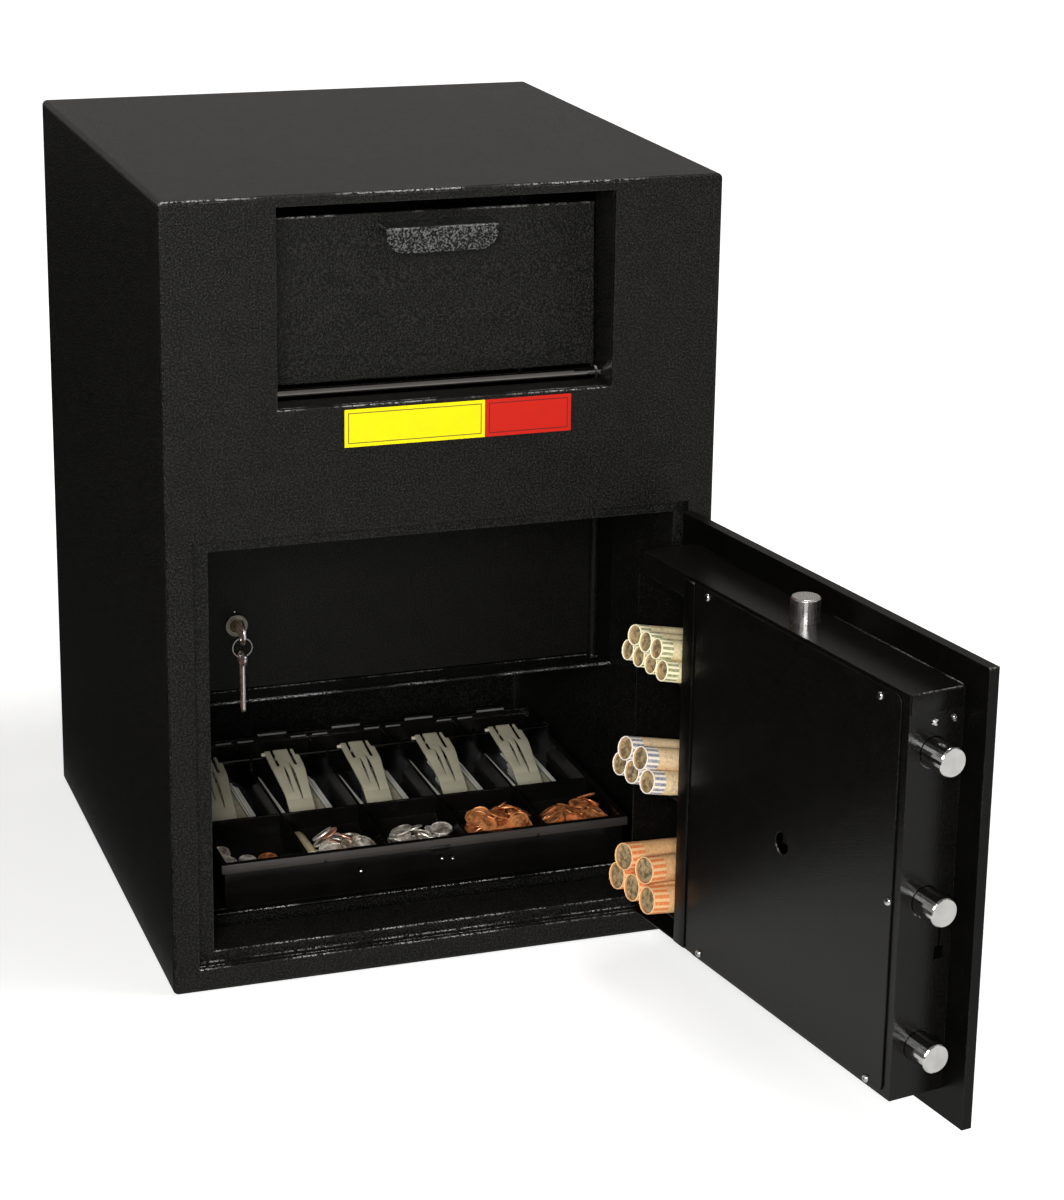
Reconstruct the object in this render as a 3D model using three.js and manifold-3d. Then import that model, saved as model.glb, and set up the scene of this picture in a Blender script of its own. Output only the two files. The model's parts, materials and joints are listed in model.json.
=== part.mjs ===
// Drop safe with a tilting deposit hopper above and a hinged bolt-work door below.
// Millimetres, +Z up. The front faces -Y and the origin is the centre of the underside.
// Inside the cabinet group, x runs from the left side, y back from the front face and z up.
import * as THREE from 'three';
import { mergeVertices } from 'three/addons/utils/BufferGeometryUtils.js';
import Module from 'manifold-3d';

const wasm = await Module();
wasm.setup();

const rad = THREE.MathUtils.degToRad;

// cabinet
const bodyWidth = 508;
const bodyDepth = 540;
const bodyHeight = 724;
const bodyWall = 5;
const cornerRound = 2;
const edgeBevel = 3;
const fit = 0.3;
const anchorHoleRadius = 7;
const anchorInset = 60;
const backInset = 1;

// door opening and its formed frame
const openingLeft = 24;
const openingRightMargin = 24;
const openingBottom = 22.5;
const headHeight = 300;
const frameSheet = 3;
const doorSeatGap = 1.5;
const lipLeft = 16.4;
const lipRight = 9.5;
const lipTop = 13;
const lipBottom = 10.5;
const jambDepth = 47;
const strikeClearance = 1;

// main door and its barrel hinges
const doorThickness = 9.5;
const doorGap = 2;
const doorSetback = 2;
const doorOpen = rad(99.4);
const hingeBeyondDoor = 8.9;
const hingeForward = 12.4;
const hingeRadius = 10;
const hingePinRadius = 4;
const hingePinHead = 3;
const hingeKnuckle = 26;
const hingeLeafThickness = 3.8;
const hingeLeafReach = 51;
const hingeBottomInset = 45.5;
const hingeTopInset = 102;

// bolt work on the door, placed from the door's free edge and its inner face
const boxSheet = 2.5;
const boxFreeInset = 28.7;
const boxHingeInset = 22.4;
const boxBottomInset = 25.2;
const boxTopInset = 23.4;
const boxDepth = 52.6;
const coverSheet = 1.5;
const coverFreeMargin = 9.3;
const coverMargin = 3;
const coverLap = 12;
const changeHoleRadius = 9.5;
const changeHoleSide = 2.2;
const changeHoleDrop = 29.4;
const boltRadius = 12.7;
const boltFaceDepth = 28;
const boltThrow = 22;
const boltEndInset = 2;
const boltTopInset = 74;
const boltBottomInset = 69.5;
const boltChamfer = 1.2;
const boltHoleClearance = 0.6;
const carrierThickness = 6;
const carrierBesideHandle = 32;
const carrierWidth = 64;
const carrierBoltLap = 16;
const topBoltX = 214;
const topBoltInset = 2;
const topBoltLength = 58;
const topBoltDrop = 20;
const linkThickness = 6;
const linkWidth = 20;
const linkPinDrop = 42;
const armHeight = 44;
const armReach = 14;
const pinRadius = 4;
const pinPlay = 0.8;
const guideSheet = 3;
const guideDistance = 18;
const guideDepth = 44;
const guideFoot = 14;
const slotCentre = 11.75;
const slotWidth = 2.5;
const slotHoleWidth = 9.5;
const slotHoleHeight = 11.5;
const slotHoleDrop = 42.5;

// combination lock, dial and handle
const lockX = 198;
const lockBelowTopBolt = 122;
const lockWidth = 60;
const lockHeight = 83;
const lockDepth = 32;
const lockDrop = 45;
const spindleRadius = 4.9;
const dialRingRadius = 44;
const dialRingDepth = 7;
const dialRadius = 36;
const dialDepth = 9;
const dialKnobRadius = 21;
const dialKnobDepth = 17;
const handleBesideLock = 88;
const handleSpindleRadius = 6;
const handlePlateRadius = 31;
const handlePlateDepth = 5;
const handleHubRadius = 15;
const handleHubDepth = 34;
const handleLength = 104;
const handleWidth = 20;
const handleThickness = 14;
const camRadius = 17.1;
const camStart = rad(40);
const camArmWidth = 16;
const camArmDepth = 6;
const camDepth = 14;

// coin rack on the hinge side of the bolt work, its shelves sloping down towards the door's plate
const rackHingeInset = 12;
const rackTopInset = 20.6;
const rackFirstShelf = 22.2;
const rackSheet = 1.5;
const rackMouthInset = 22;
const rackMouthSpare = 5.1;
const dimeRollRadius = 9.8;
const dimeRollLength = 66;
const dimeShelfSlope = rad(14);
const dimeShelfRoom = 83.2;
const nickelRollRadius = 11.3;
const nickelRollLength = 77;
const nickelRollTurn = rad(4);
const nickelShelfSlope = rad(14.5);
const nickelShelfRoom = 109.3;
const quarterRollRadius = 12.9;
const quarterRollLength = 70;
const quarterRollTurn = rad(3);
const quarterShelfSlope = rad(9);
const quarterShelfRoom = 113.3;
const rollSideGap = 0.5;
const rollRearGap = 0.7;
const rollStagger = 1;
const rollSqueeze = 0.975;

// deposit hopper
const hopperWidth = 306;
const hopperHeight = 177;
const hopperTopMargin = 10;
const hopperSleeveDepth = 45;
const hopperSillGap = 7.7;
const hopperRodY = 38;
const hopperRodRise = 4;
const hopperRodRadius = 5;
const hopperRodOverhang = 8;
const hopperSideGap = 2;
const panelThickness = 4;
const panelRise = 7;
const panelTopGap = 18;
const panelLean = rad(2.7);
const panelForward = 2;
const bucketSheet = 2;
const bucketTopDrop = 5;
const bucketFloorAngle = 110;
const shieldFrom = 35;
const shieldTo = 80;
const hopperHandleWidth = 102;
const hopperHandleReach = 26;
const hopperHandleDrop = 23;
const hopperHandleInset = 9;
const hopperHandleRound = 17;
const hopperHandleSheet = 3;

// deposit chute and its anti-fishing plates
const chuteRise = 6;
const chuteSheet = 3;
const chuteFloorDepth = 300;
const combHeight = 46;
const combToothDepth = 14;
const combTeeth = 12;
const baffleReach = 104;
const baffleRise = 70;
const baffleFall = 48;

// inner locker over the till
const lockerY = 240;
const lockerSheet = 3;
const lockerShelfZ = 181;
const lockerShelfLip = 4;
const lockerOpeningLeft = 90;
const lockerRightMargin = 20.7;
const lockerSill = 10;
const lockerHead = 29;
const lockerReturn = 15;
const lockerGap = 1.7;
const lockerPinInset = 5.3;
const lockerPinForward = 3.5;
const lockerPinRadius = 2.5;
const lockerBarrelRadius = 4.5;
const lockerEarHeight = 8;
const camLockInset = 28.4;
const camLockRise = 67;
const camLockHeadRadius = 11;
const camLockHeadDepth = 4;
const camLockBodyRadius = 9;
const camLockBodyDepth = 16;
const plugRadius = 6;
const camTongueLength = 52;
const camTongueWidth = 16;
const keyBowRadius = 12;
const keyThickness = 2.2;
const keyReach = 21;
const keyShankWidth = 7;
const keyHoleRadius = 3;
const keyRingRadius = 9.5;
const keyRingWire = 0.9;
const spareKeyLength = 56;

// till tray
const tillLeft = 66;
const tillDoorGap = 1;
const tillRightMargin = 40;
const tillDepth = 300;
const tillHeight = 46.7;
const tillShelfRise = 0.2;
const tillShelfSheet = 3;
const tillShelfSetback = 8;
const tillShelfBackMargin = 12;
const tillShelfSideGap = 15;
const tillWall = 2;
const tillRim = 8;
const tillRimLap = 4;
const tillCupDepth = 96;
const tillDivider = 3;
const tillBays = 5;
const tillFloor = 2.5;
const railHeight = 10;
const railDepth = 7;
const railTabWidth = 30;
const weightRodRise = 9.8;
const weightRodRadius = 2.5;
const weightRodSeat = 5;
const weightInset = 13.3;
const weightTopWidth = 33;
const weightFootWidth = 26;
const weightThickness = 2.4;
const weightTailLength = 3;
const weightTopRun = 33;
const weightTopSlope = rad(9.3);
const weightWaistRun = 35;
const weightWaistSlope = rad(19.6);
const weightFootRun = 30;
const weightFootSlope = rad(31);
const weightFootGap = 22;
const weightFingerWidth = 14.5;
const weightSlotWidth = 3.2;
const weightSlotLength = 30;
const weightStepWidth = 3.2;
const weightStepLength = 12;
const weightEyeRadius = 5;
const weightEyeWidth = 24;

// plain coloured plates under the hopper
const labelThickness = 0.6;
const labelHeight = 34;
const labelDrop = 3.5;
const labelInset = 59;
const yellowWidth = 128;
const redWidth = 80;

// values that follow from the sizes above
const innerLeft = bodyWall + fit;
const innerRight = bodyWidth - bodyWall - fit;
const backFace = bodyDepth - backInset - bodyWall;
const seatDepth = doorSetback + doorThickness + doorSeatGap;
const openingRight = bodyWidth - openingRightMargin;
const openingTop = bodyHeight - headHeight;
const jambBack = seatDepth + jambDepth;
const doorLeft = openingLeft + doorGap;
const doorWidth = openingRight - openingLeft - 2 * doorGap;
const doorBottom = openingBottom + doorGap;
const doorTop = openingTop - doorGap;
const doorInner = doorSetback + doorThickness;
const hingeX = doorLeft + doorWidth + hingeBeyondDoor;
const hingeY = -hingeForward;
const boltY = doorInner + boltFaceDepth;
const handleX = lockX - handleBesideLock;
const carrierLeft = handleX - carrierBesideHandle;
const hingeHeights = { lower: doorBottom + hingeBottomInset, upper: doorTop - hingeTopInset };
const boxBottom = doorBottom + boxBottomInset;
const boxTop = doorTop - boxTopInset;
const lowerBolt = doorBottom + boltBottomInset;
const upperBolt = doorTop - boltTopInset;
const boltHeights = { upper: upperBolt, middle: (lowerBolt + upperBolt) / 2, lower: lowerBolt };
const carrierBottom = lowerBolt - carrierBoltLap;
const carrierTop = upperBolt + carrierBoltLap;
const topBoltTop = doorTop - topBoltInset;
const topBoltBottom = topBoltTop - topBoltLength;
const linkPinHeight = topBoltBottom - linkPinDrop;
const lockZ = topBoltBottom - lockBelowTopBolt;
const hopperLeft = (bodyWidth - hopperWidth) / 2;
const hopperRight = hopperLeft + hopperWidth;
const hopperTop = bodyHeight - hopperTopMargin;
const hopperBottom = hopperTop - hopperHeight;
const hopperRodZ = hopperBottom + hopperRodRise;
const panelTop = hopperHeight - hopperRodRise - panelTopGap;
const panelHeight = panelTop - panelRise;
const bucketRadius = panelTop - bucketTopDrop;
const hopperHandleTop = panelTop - hopperHandleInset;
const chuteFloorZ = openingTop + chuteRise;
const baffleTop = chuteFloorZ + baffleRise;
const rackRight = doorWidth - rackHingeInset;
const rackTop = boxTop - rackTopInset;
const rackBottom = boxBottom + fit;
const lockerOpeningRight = bodyWidth - lockerRightMargin;
const lockerOpeningBottom = lockerShelfZ + lockerSheet + lockerSill;
const lockerOpeningTop = chuteFloorZ - lockerHead;
const lockerPinX = lockerOpeningRight - lockerPinInset;
const camLockX = lockerOpeningLeft + camLockInset;
const camLockZ = lockerOpeningBottom + camLockRise;
const tillShelfTop = openingBottom + lipBottom + tillShelfRise;
const tillWidth = bodyWidth - tillLeft - tillRightMargin;
const tillBottom = tillShelfTop + fit;

// the rolls of each kind: how far each end stays back from the longest, row by row, in units of rollStagger
const rollFits = [
  { name: 'coin_rolls_quarter', radius: quarterRollRadius, length: quarterRollLength, turn: quarterRollTurn,
    slope: quarterShelfSlope, room: quarterShelfRoom, back: [[0.2, 0.4, 0], [0.6, 0.2]] },
  { name: 'coin_rolls_nickel', radius: nickelRollRadius, length: nickelRollLength, turn: nickelRollTurn,
    slope: nickelShelfSlope, room: nickelShelfRoom, back: [[1, 0.6, 1], [0, 1]] },
  { name: 'coin_rolls_dime', radius: dimeRollRadius, length: dimeRollLength, turn: 0,
    slope: dimeShelfSlope, room: dimeShelfRoom, back: [[0, 1, 0.4, 0], [0, 0.7, 1]] },
];
const rackRoom = rackTop - rackBottom - rackFirstShelf;
const spareRoom = (rackRoom - quarterShelfRoom - nickelShelfRoom - dimeShelfRoom) / rollFits.length;
let nextShelf = rackBottom + rackFirstShelf;
for (const roll of rollFits) {
  const { radius, length, turn, slope } = roll;
  roll.shelf = nextShelf;
  nextShelf += roll.room + spareRoom;
  roll.pitch = 2 * radius * rollSqueeze / Math.cos(turn);
  roll.side = radius + length * Math.sin(turn);
  roll.row = roll.side + radius + (roll.back[0].length - 1) * roll.pitch;
  roll.tip = radius * (Math.sin(slope) + Math.sin(turn));
  roll.out = rackSheet + fit + rollRearGap + rollStagger + roll.tip
    + length * Math.cos(turn) * Math.cos(slope);
}
const rackMouth = Math.max(...rollFits.map((roll) => roll.row)) + 2 * rollSideGap + rackMouthSpare;
const rackLeft = rackRight - rackSheet - rackMouth - rackMouthInset;

// the till starts just behind the lowest rolls of the closed door
const tillFront = doorInner + rollFits[0].out + rollFits[0].tip + tillDoorGap;
const tillShelfFront = tillFront + tillShelfSetback;

const finishes = {
  powder: { color: 0x1b1a18, roughness: 0.5, metalness: 0.15 },
  sheet: { color: 0x161615, roughness: 0.45, metalness: 0.2 },
  chrome: { color: 0xc9c6c0, roughness: 0.12, metalness: 1 },
  steel: { color: 0x8f8d88, roughness: 0.3, metalness: 1 },
  brass: { color: 0xb99a4a, roughness: 0.3, metalness: 1 },
  plastic: { color: 0x101010, roughness: 0.35, metalness: 0 },
  weight: { color: 0x8f8b7c, roughness: 0.45, metalness: 0 },
  paper: { color: 0xc9a878, roughness: 0.85, metalness: 0 },
  yellow: { color: 0xf5e400, roughness: 0.45, metalness: 0 },
  red: { color: 0xc01a10, roughness: 0.45, metalness: 0 },
};

function solid(geometry) {
  const bare = geometry.clone();
  bare.deleteAttribute('normal');
  bare.deleteAttribute('uv');
  const merged = mergeVertices(bare, 1e-4);
  return new wasm.Manifold(new wasm.Mesh({
    numProp: 3,
    vertProperties: new Float32Array(merged.attributes.position.array),
    triVerts: new Uint32Array(merged.index.array),
  }));
}

function geometryOf(body) {
  const mesh = body.getMesh();
  const geometry = new THREE.BufferGeometry();
  geometry.setAttribute('position', new THREE.BufferAttribute(mesh.vertProperties, 3));
  geometry.setIndex(new THREE.BufferAttribute(mesh.triVerts, 1));
  geometry.computeVertexNormals();
  return geometry;
}

function join(first, ...rest) {
  return geometryOf(rest.reduce((body, next) => body.add(solid(next)), solid(first)));
}

function cut(first, ...rest) {
  return geometryOf(rest.reduce((body, next) => body.subtract(solid(next)), solid(first)));
}

function overlap(first, second) {
  return geometryOf(solid(first).intersect(solid(second)));
}

function block(x0, x1, y0, y1, z0, z1) {
  const geometry = new THREE.BoxGeometry(x1 - x0, y1 - y0, z1 - z0);
  return geometry.translate((x0 + x1) / 2, (y0 + y1) / 2, (z0 + z1) / 2);
}

// a round bar along one axis from start to end, its centre given by the other two coordinates in order
function bar(axis, radius, start, end, a, b, sides = 24) {
  const geometry = new THREE.CylinderGeometry(radius, radius, end - start, sides);
  const middle = (start + end) / 2;
  if (axis === 'x') {
    return geometry.rotateZ(-Math.PI / 2).translate(middle, a, b);
  }
  if (axis === 'y') {
    return geometry.translate(a, middle, b);
  }
  return geometry.rotateX(Math.PI / 2).translate(a, b, middle);
}

function outline(points) {
  return new THREE.Shape(points.map(([a, b]) => new THREE.Vector2(a, b)));
}

function roundedRectangle(x0, x1, y0, y1, r) {
  const shape = new THREE.Shape();
  shape.moveTo(x0 + r, y0);
  shape.lineTo(x1 - r, y0);
  shape.absarc(x1 - r, y0 + r, r, -Math.PI / 2, 0);
  shape.lineTo(x1, y1 - r);
  shape.absarc(x1 - r, y1 - r, r, 0, Math.PI / 2);
  shape.lineTo(x0 + r, y1);
  shape.absarc(x0 + r, y1 - r, r, Math.PI / 2, Math.PI);
  shape.lineTo(x0, y0 + r);
  shape.absarc(x0 + r, y0 + r, r, Math.PI, Math.PI * 1.5);
  return shape;
}

// extrudes an outline drawn in x and z from y0 to y1
function upright(shape, y0, y1, curveSegments = 8) {
  const geometry = new THREE.ExtrudeGeometry(shape, { depth: y1 - y0, bevelEnabled: false, curveSegments });
  return geometry.rotateX(Math.PI / 2).translate(0, y1, 0);
}

// extrudes an outline drawn in y and z from x0 to x1
function sideways(shape, x0, x1, curveSegments = 12) {
  const geometry = new THREE.ExtrudeGeometry(shape, { depth: x1 - x0, bevelEnabled: false, curveSegments });
  const turn = new THREE.Matrix4().makeBasis(
    new THREE.Vector3(0, 1, 0), new THREE.Vector3(0, 0, 1), new THREE.Vector3(1, 0, 0));
  return geometry.applyMatrix4(turn).translate(x0, 0, 0);
}

// extrudes an outline drawn in x and y from z0 to z1
function flat(shape, z0, z1, curveSegments = 8) {
  const geometry = new THREE.ExtrudeGeometry(shape, { depth: z1 - z0, bevelEnabled: false, curveSegments });
  return geometry.translate(0, 0, z0);
}

function piece(parent, name, geometry, finish) {
  const mesh = new THREE.Mesh(geometry, new THREE.MeshStandardMaterial(finishes[finish]));
  mesh.name = name;
  parent.add(mesh);
  return mesh;
}

function group(parent, x, y, z) {
  const child = new THREE.Group();
  child.position.set(x, y, z);
  parent.add(child);
  return child;
}

function addBodyShell(parent) {
  const front = roundedRectangle(edgeBevel, bodyWidth - edgeBevel, edgeBevel, bodyHeight - edgeBevel,
    cornerRound);
  const outer = new THREE.ExtrudeGeometry(front, {
    depth: bodyDepth - 2 * edgeBevel,
    bevelThickness: edgeBevel,
    bevelSize: edgeBevel,
    bevelSegments: 2,
    curveSegments: 2,
  });
  outer.rotateX(Math.PI / 2).translate(0, bodyDepth - edgeBevel, 0);
  const holes = [];
  for (const x of [anchorInset, bodyWidth - anchorInset]) {
    for (const y of [anchorInset, bodyDepth - anchorInset]) {
      holes.push(bar('z', anchorHoleRadius, -1, bodyWall + 1, x, y, 16));
    }
  }
  const shell = cut(outer,
    block(bodyWall, bodyWidth - bodyWall, bodyWall, bodyDepth + 1, bodyWall, bodyHeight - bodyWall),
    block(openingLeft, openingRight, -1, bodyWall + 1, openingBottom, openingTop),
    block(hopperLeft, hopperRight, -1, bodyWall + 1, hopperBottom, hopperTop),
    ...holes);
  piece(parent, 'body_shell', shell, 'powder');
  const back = block(innerLeft, innerRight, backFace, bodyDepth - backInset, innerLeft, bodyHeight - innerLeft);
  piece(parent, 'back_plate', back, 'powder');
}

function addDoorFrame(parent) {
  const front = bodyWall + fit;
  const left = openingLeft + lipLeft;
  const right = openingRight - lipRight;
  const bottom = openingBottom + lipBottom;
  const top = openingTop - lipTop;
  const seat = block(openingLeft - frameSheet, openingRight + frameSheet, front, seatDepth + frameSheet,
    openingBottom - frameSheet, openingTop + frameSheet);
  const jamb = block(left - frameSheet, right + frameSheet, seatDepth, jambBack,
    bottom - frameSheet, top + frameSheet);
  const strike = boltRadius + strikeClearance;
  const strikes = Object.values(boltHeights).map(
    (z) => bar('x', strike, left - frameSheet - 1, left + 1, boltY, z));
  const frame = cut(join(seat, jamb),
    block(openingLeft, openingRight, front - 1, seatDepth, openingBottom, openingTop),
    block(left, right, seatDepth - 1, jambBack + 1, bottom, top),
    bar('z', strike, top - 1, top + frameSheet + 1, doorLeft + topBoltX, boltY),
    ...strikes);
  piece(parent, 'door_frame', frame, 'powder');
}

function addHopperFrame(parent) {
  const front = bodyWall + fit;
  const back = front + hopperSleeveDepth;
  const sillBack = hopperRodY - hopperSillGap;
  const sleeve = cut(
    block(hopperLeft - frameSheet, hopperRight + frameSheet, front, back,
      hopperBottom - frameSheet, hopperTop + frameSheet),
    block(hopperLeft, hopperRight, front - 1, back + 1, hopperBottom, hopperTop),
    block(hopperLeft, hopperRight, sillBack, back + 1, hopperBottom - frameSheet - 1, hopperTop),
    bar('x', hopperRodRadius + fit, hopperLeft - frameSheet - 1, hopperRight + frameSheet + 1,
      hopperRodY, hopperRodZ, 24));
  piece(parent, 'hopper_frame', sleeve, 'powder');
  const rod = bar('x', hopperRodRadius, hopperLeft - hopperRodOverhang, hopperRight + hopperRodOverhang,
    hopperRodY, hopperRodZ, 24);
  piece(parent, 'hopper_rod', rod, 'steel');
}

function addHopper(parent) {
  const hopper = group(parent, 0, hopperRodY, hopperRodZ);
  const left = hopperLeft + hopperSideGap;
  const right = hopperRight - hopperSideGap;
  const panel = piece(hopper, 'hopper_panel',
    block(left, right, 0, panelThickness, 0, panelHeight), 'powder');
  panel.position.set(0, panelForward, panelRise);
  panel.rotation.x = -panelLean;

  const behind = (z) => panelForward + panelThickness / Math.cos(panelLean)
    + (z - panelRise) * Math.tan(panelLean) + fit;
  const at = (radius, degrees) => [radius * Math.sin(rad(degrees)), radius * Math.cos(rad(degrees))];
  const cheekTop = Math.sqrt(bucketRadius ** 2 - behind(bucketRadius) ** 2);
  const startAngle = Math.PI / 2 - Math.atan2(behind(bucketRadius), cheekTop);
  const endAngle = Math.PI / 2 - rad(bucketFloorAngle);
  const lobe = hopperRodRadius + fit + 1.5;
  const cheek = new THREE.Shape();
  cheek.moveTo(0, 0);
  cheek.lineTo(behind(panelRise), 0);
  cheek.lineTo(behind(panelRise), panelRise);
  cheek.lineTo(behind(cheekTop), cheekTop);
  cheek.absarc(0, 0, bucketRadius, startAngle, endAngle, true);
  const [floorY, floorZ] = at(bucketRadius, bucketFloorAngle);
  const [underY, underZ] = at(bucketSheet, bucketFloorAngle + 90);
  cheek.lineTo(floorY + underY, floorZ + underZ);
  cheek.lineTo(underY, -lobe + fit);
  const floorStart = at(lobe + fit, bucketFloorAngle);
  const floor = outline([floorStart, [floorY, floorZ], [floorY + underY, floorZ + underZ],
    [floorStart[0] + underY, floorStart[1] + underZ]]);
  const shield = new THREE.Shape();
  shield.absarc(0, 0, bucketRadius, Math.PI / 2 - rad(shieldFrom), Math.PI / 2 - rad(shieldTo), true);
  shield.absarc(0, 0, bucketRadius - bucketSheet, Math.PI / 2 - rad(shieldTo),
    Math.PI / 2 - rad(shieldFrom), false);
  const parts = [
    sideways(cheek, left, left + bucketSheet),
    sideways(cheek, right - bucketSheet, right),
    bar('x', lobe, left, left + bucketSheet, 0, 0, 16),
    bar('x', lobe, right - bucketSheet, right, 0, 0, 16),
    sideways(floor, left, right),
    sideways(shield, left, right),
  ];
  const bucket = cut(join(...parts), bar('x', hopperRodRadius + fit, left - 1, right + 1, 0, 0, 16));
  piece(hopper, 'hopper_bucket', bucket, 'powder');

  const middle = (hopperLeft + hopperRight) / 2;
  const root = behind(hopperHandleTop) - panelThickness - 2 * fit - 0.2;
  const lipFront = root - hopperHandleReach - hopperHandleSheet;
  const x0 = middle - hopperHandleWidth / 2;
  const x1 = middle + hopperHandleWidth / 2;
  const lipBottomZ = hopperHandleTop - hopperHandleDrop;
  const lip = new THREE.Shape();
  lip.moveTo(x0, hopperHandleTop);
  lip.lineTo(x0, lipBottomZ + hopperHandleRound);
  lip.absarc(x0 + hopperHandleRound, lipBottomZ + hopperHandleRound, hopperHandleRound, Math.PI, Math.PI * 1.5);
  lip.absarc(x1 - hopperHandleRound, lipBottomZ + hopperHandleRound, hopperHandleRound, Math.PI * 1.5,
    Math.PI * 2);
  lip.lineTo(x1, hopperHandleTop);
  const handle = join(upright(lip, lipFront, lipFront + hopperHandleSheet),
    block(x0, x1, lipFront, root, hopperHandleTop - hopperHandleSheet, hopperHandleTop));
  piece(hopper, 'hopper_handle', handle, 'powder');
}

function addChute(parent) {
  const floorTop = chuteFloorZ + chuteSheet;
  piece(parent, 'chute_floor',
    block(innerLeft, innerRight, bodyWall + fit, chuteFloorDepth, chuteFloorZ, floorTop), 'sheet');
  const points = [[innerLeft, floorTop + fit]];
  points.push([innerRight, floorTop + fit]);
  const pitch = (innerRight - innerLeft) / combTeeth;
  for (let i = combTeeth; i > 0; i -= 1) {
    points.push([innerLeft + i * pitch, floorTop + combHeight - combToothDepth]);
    points.push([innerLeft + (i - 0.5) * pitch, floorTop + combHeight]);
  }
  points.push([innerLeft, floorTop + combHeight - combToothDepth]);
  piece(parent, 'baffle_comb',
    upright(outline(points), chuteFloorDepth - chuteSheet, chuteFloorDepth), 'sheet');
  const baffleBack = backFace - fit;
  const baffle = outline([[baffleBack, baffleTop], [baffleBack, baffleTop + chuteSheet],
    [baffleBack - baffleReach, baffleTop - baffleFall + chuteSheet],
    [baffleBack - baffleReach, baffleTop - baffleFall]]);
  piece(parent, 'rear_baffle', sideways(baffle, innerLeft, innerRight), 'sheet');
}

function addDoorHinges(parent, leaf) {
  for (const [name, z] of Object.entries(hingeHeights)) {
    const fixedTop = z + hingeKnuckle;
    const movingTop = fixedTop + fit + hingeKnuckle;
    const fixed = cut(
      join(bar('z', hingeRadius, z, fixedTop, hingeX, hingeY),
        block(hingeX, bodyWidth - edgeBevel, -hingeLeafThickness - fit, -fit, z, fixedTop)),
      bar('z', hingePinRadius + fit, z - 1, fixedTop + 1, hingeX, hingeY, 24));
    piece(parent, `hinge_leaf_${name}`, fixed, 'powder');
    const pinHead = bar('z', hingePinRadius + hingePinHead, movingTop + fit, movingTop + fit + hingePinHead,
      hingeX, hingeY, 24);
    const pinShaft = bar('z', hingePinRadius, z - hingePinHead, movingTop + fit + 1, hingeX, hingeY, 24);
    const pin = join(pinShaft, pinHead);
    piece(parent, `hinge_pin_${name}`, pin, 'steel');

    // the leaf on the door is drawn round the hinge axis
    const frontGap = hingeForward + doorSetback;
    const leafBack = hingeForward - fit - 0.2;
    const z0 = fixedTop + fit;
    const moving = cut(
      join(bar('z', hingeRadius, z0, movingTop, 0, 0),
        block(-hingeLeafReach, 0, leafBack - hingeLeafThickness, leafBack, z0, movingTop),
        block(-hingeLeafReach, -hingeBeyondDoor - fit, leafBack - 1, frontGap - fit, z0, movingTop)),
      bar('z', hingePinRadius + fit, fixedTop, movingTop + 1, 0, 0, 24));
    piece(leaf, `door_hinge_leaf_${name}`, moving, 'powder');
  }
}

function addDoorPlate(door) {
  const plate = cut(block(0, doorWidth, -doorThickness, 0, doorBottom, doorTop),
    bar('y', spindleRadius + 1, -doorThickness - 1, 1, lockX, lockZ, 24),
    bar('y', handleSpindleRadius + fit, -doorThickness - 1, 1, handleX, lockZ, 24));
  piece(door, 'door_plate', plate, 'powder');
}

function addBoltworkBox(door) {
  const x0 = boxFreeInset;
  const x1 = doorWidth - boxHingeInset;
  const s = boxSheet;
  const partition = rackLeft - fit;
  const apron = rackTop + fit;
  const holeRadius = boltRadius + boltHoleClearance;
  const boltHoles = Object.values(boltHeights).map(
    (z) => bar('x', holeRadius, x0 - 1, x0 + s + 1, boltFaceDepth, z));
  const slotTop = boltHeights.middle - boltRadius - 1;
  const slotHoleTop = boltHeights.middle - slotHoleDrop;
  const box = cut(block(x0, x1, fit, boxDepth, boxBottom, boxTop),
    block(x0 + s, partition - s, -1, boxDepth - s, boxBottom + s, boxTop - s),
    block(partition - s - 1, x1 - s, -1, boxDepth - s, apron + s, boxTop - s),
    block(partition, doorWidth, -1, boxDepth + 1, boxBottom - 1, apron),
    block(x0 + coverFreeMargin + coverLap, partition - s - coverLap, boxDepth - s - 1, boxDepth + 1,
      boxBottom + coverMargin + coverLap, boxTop - coverMargin - coverLap),
    bar('z', holeRadius, boxTop - s - 1, boxTop + 1, topBoltX, boltFaceDepth),
    block(x0 - 1, x0 + s + 1, slotCentre - slotWidth / 2, slotCentre + slotWidth / 2,
      slotHoleTop - 0.5, slotTop),
    block(x0 - 1, x0 + s + 1, slotCentre - slotHoleWidth / 2, slotCentre + slotHoleWidth / 2,
      slotHoleTop - slotHoleHeight, slotHoleTop),
    ...boltHoles);
  piece(door, 'boltwork_box', box, 'sheet');
}

function addBoltworkCover(door) {
  const x0 = boxFreeInset + coverFreeMargin;
  const x1 = rackLeft + rackMouthInset - 1;
  const shape = roundedRectangle(x0, x1, boxBottom + coverMargin, boxTop - coverMargin, 8);
  const cover = cut(upright(shape, boxDepth + fit, boxDepth + fit + coverSheet, 4),
    bar('y', changeHoleRadius, boxDepth - 1, boxDepth + coverSheet + 1,
      lockX - changeHoleSide, lockZ - changeHoleDrop, 24));
  piece(door, 'boltwork_cover', cover, 'sheet');
}

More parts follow.
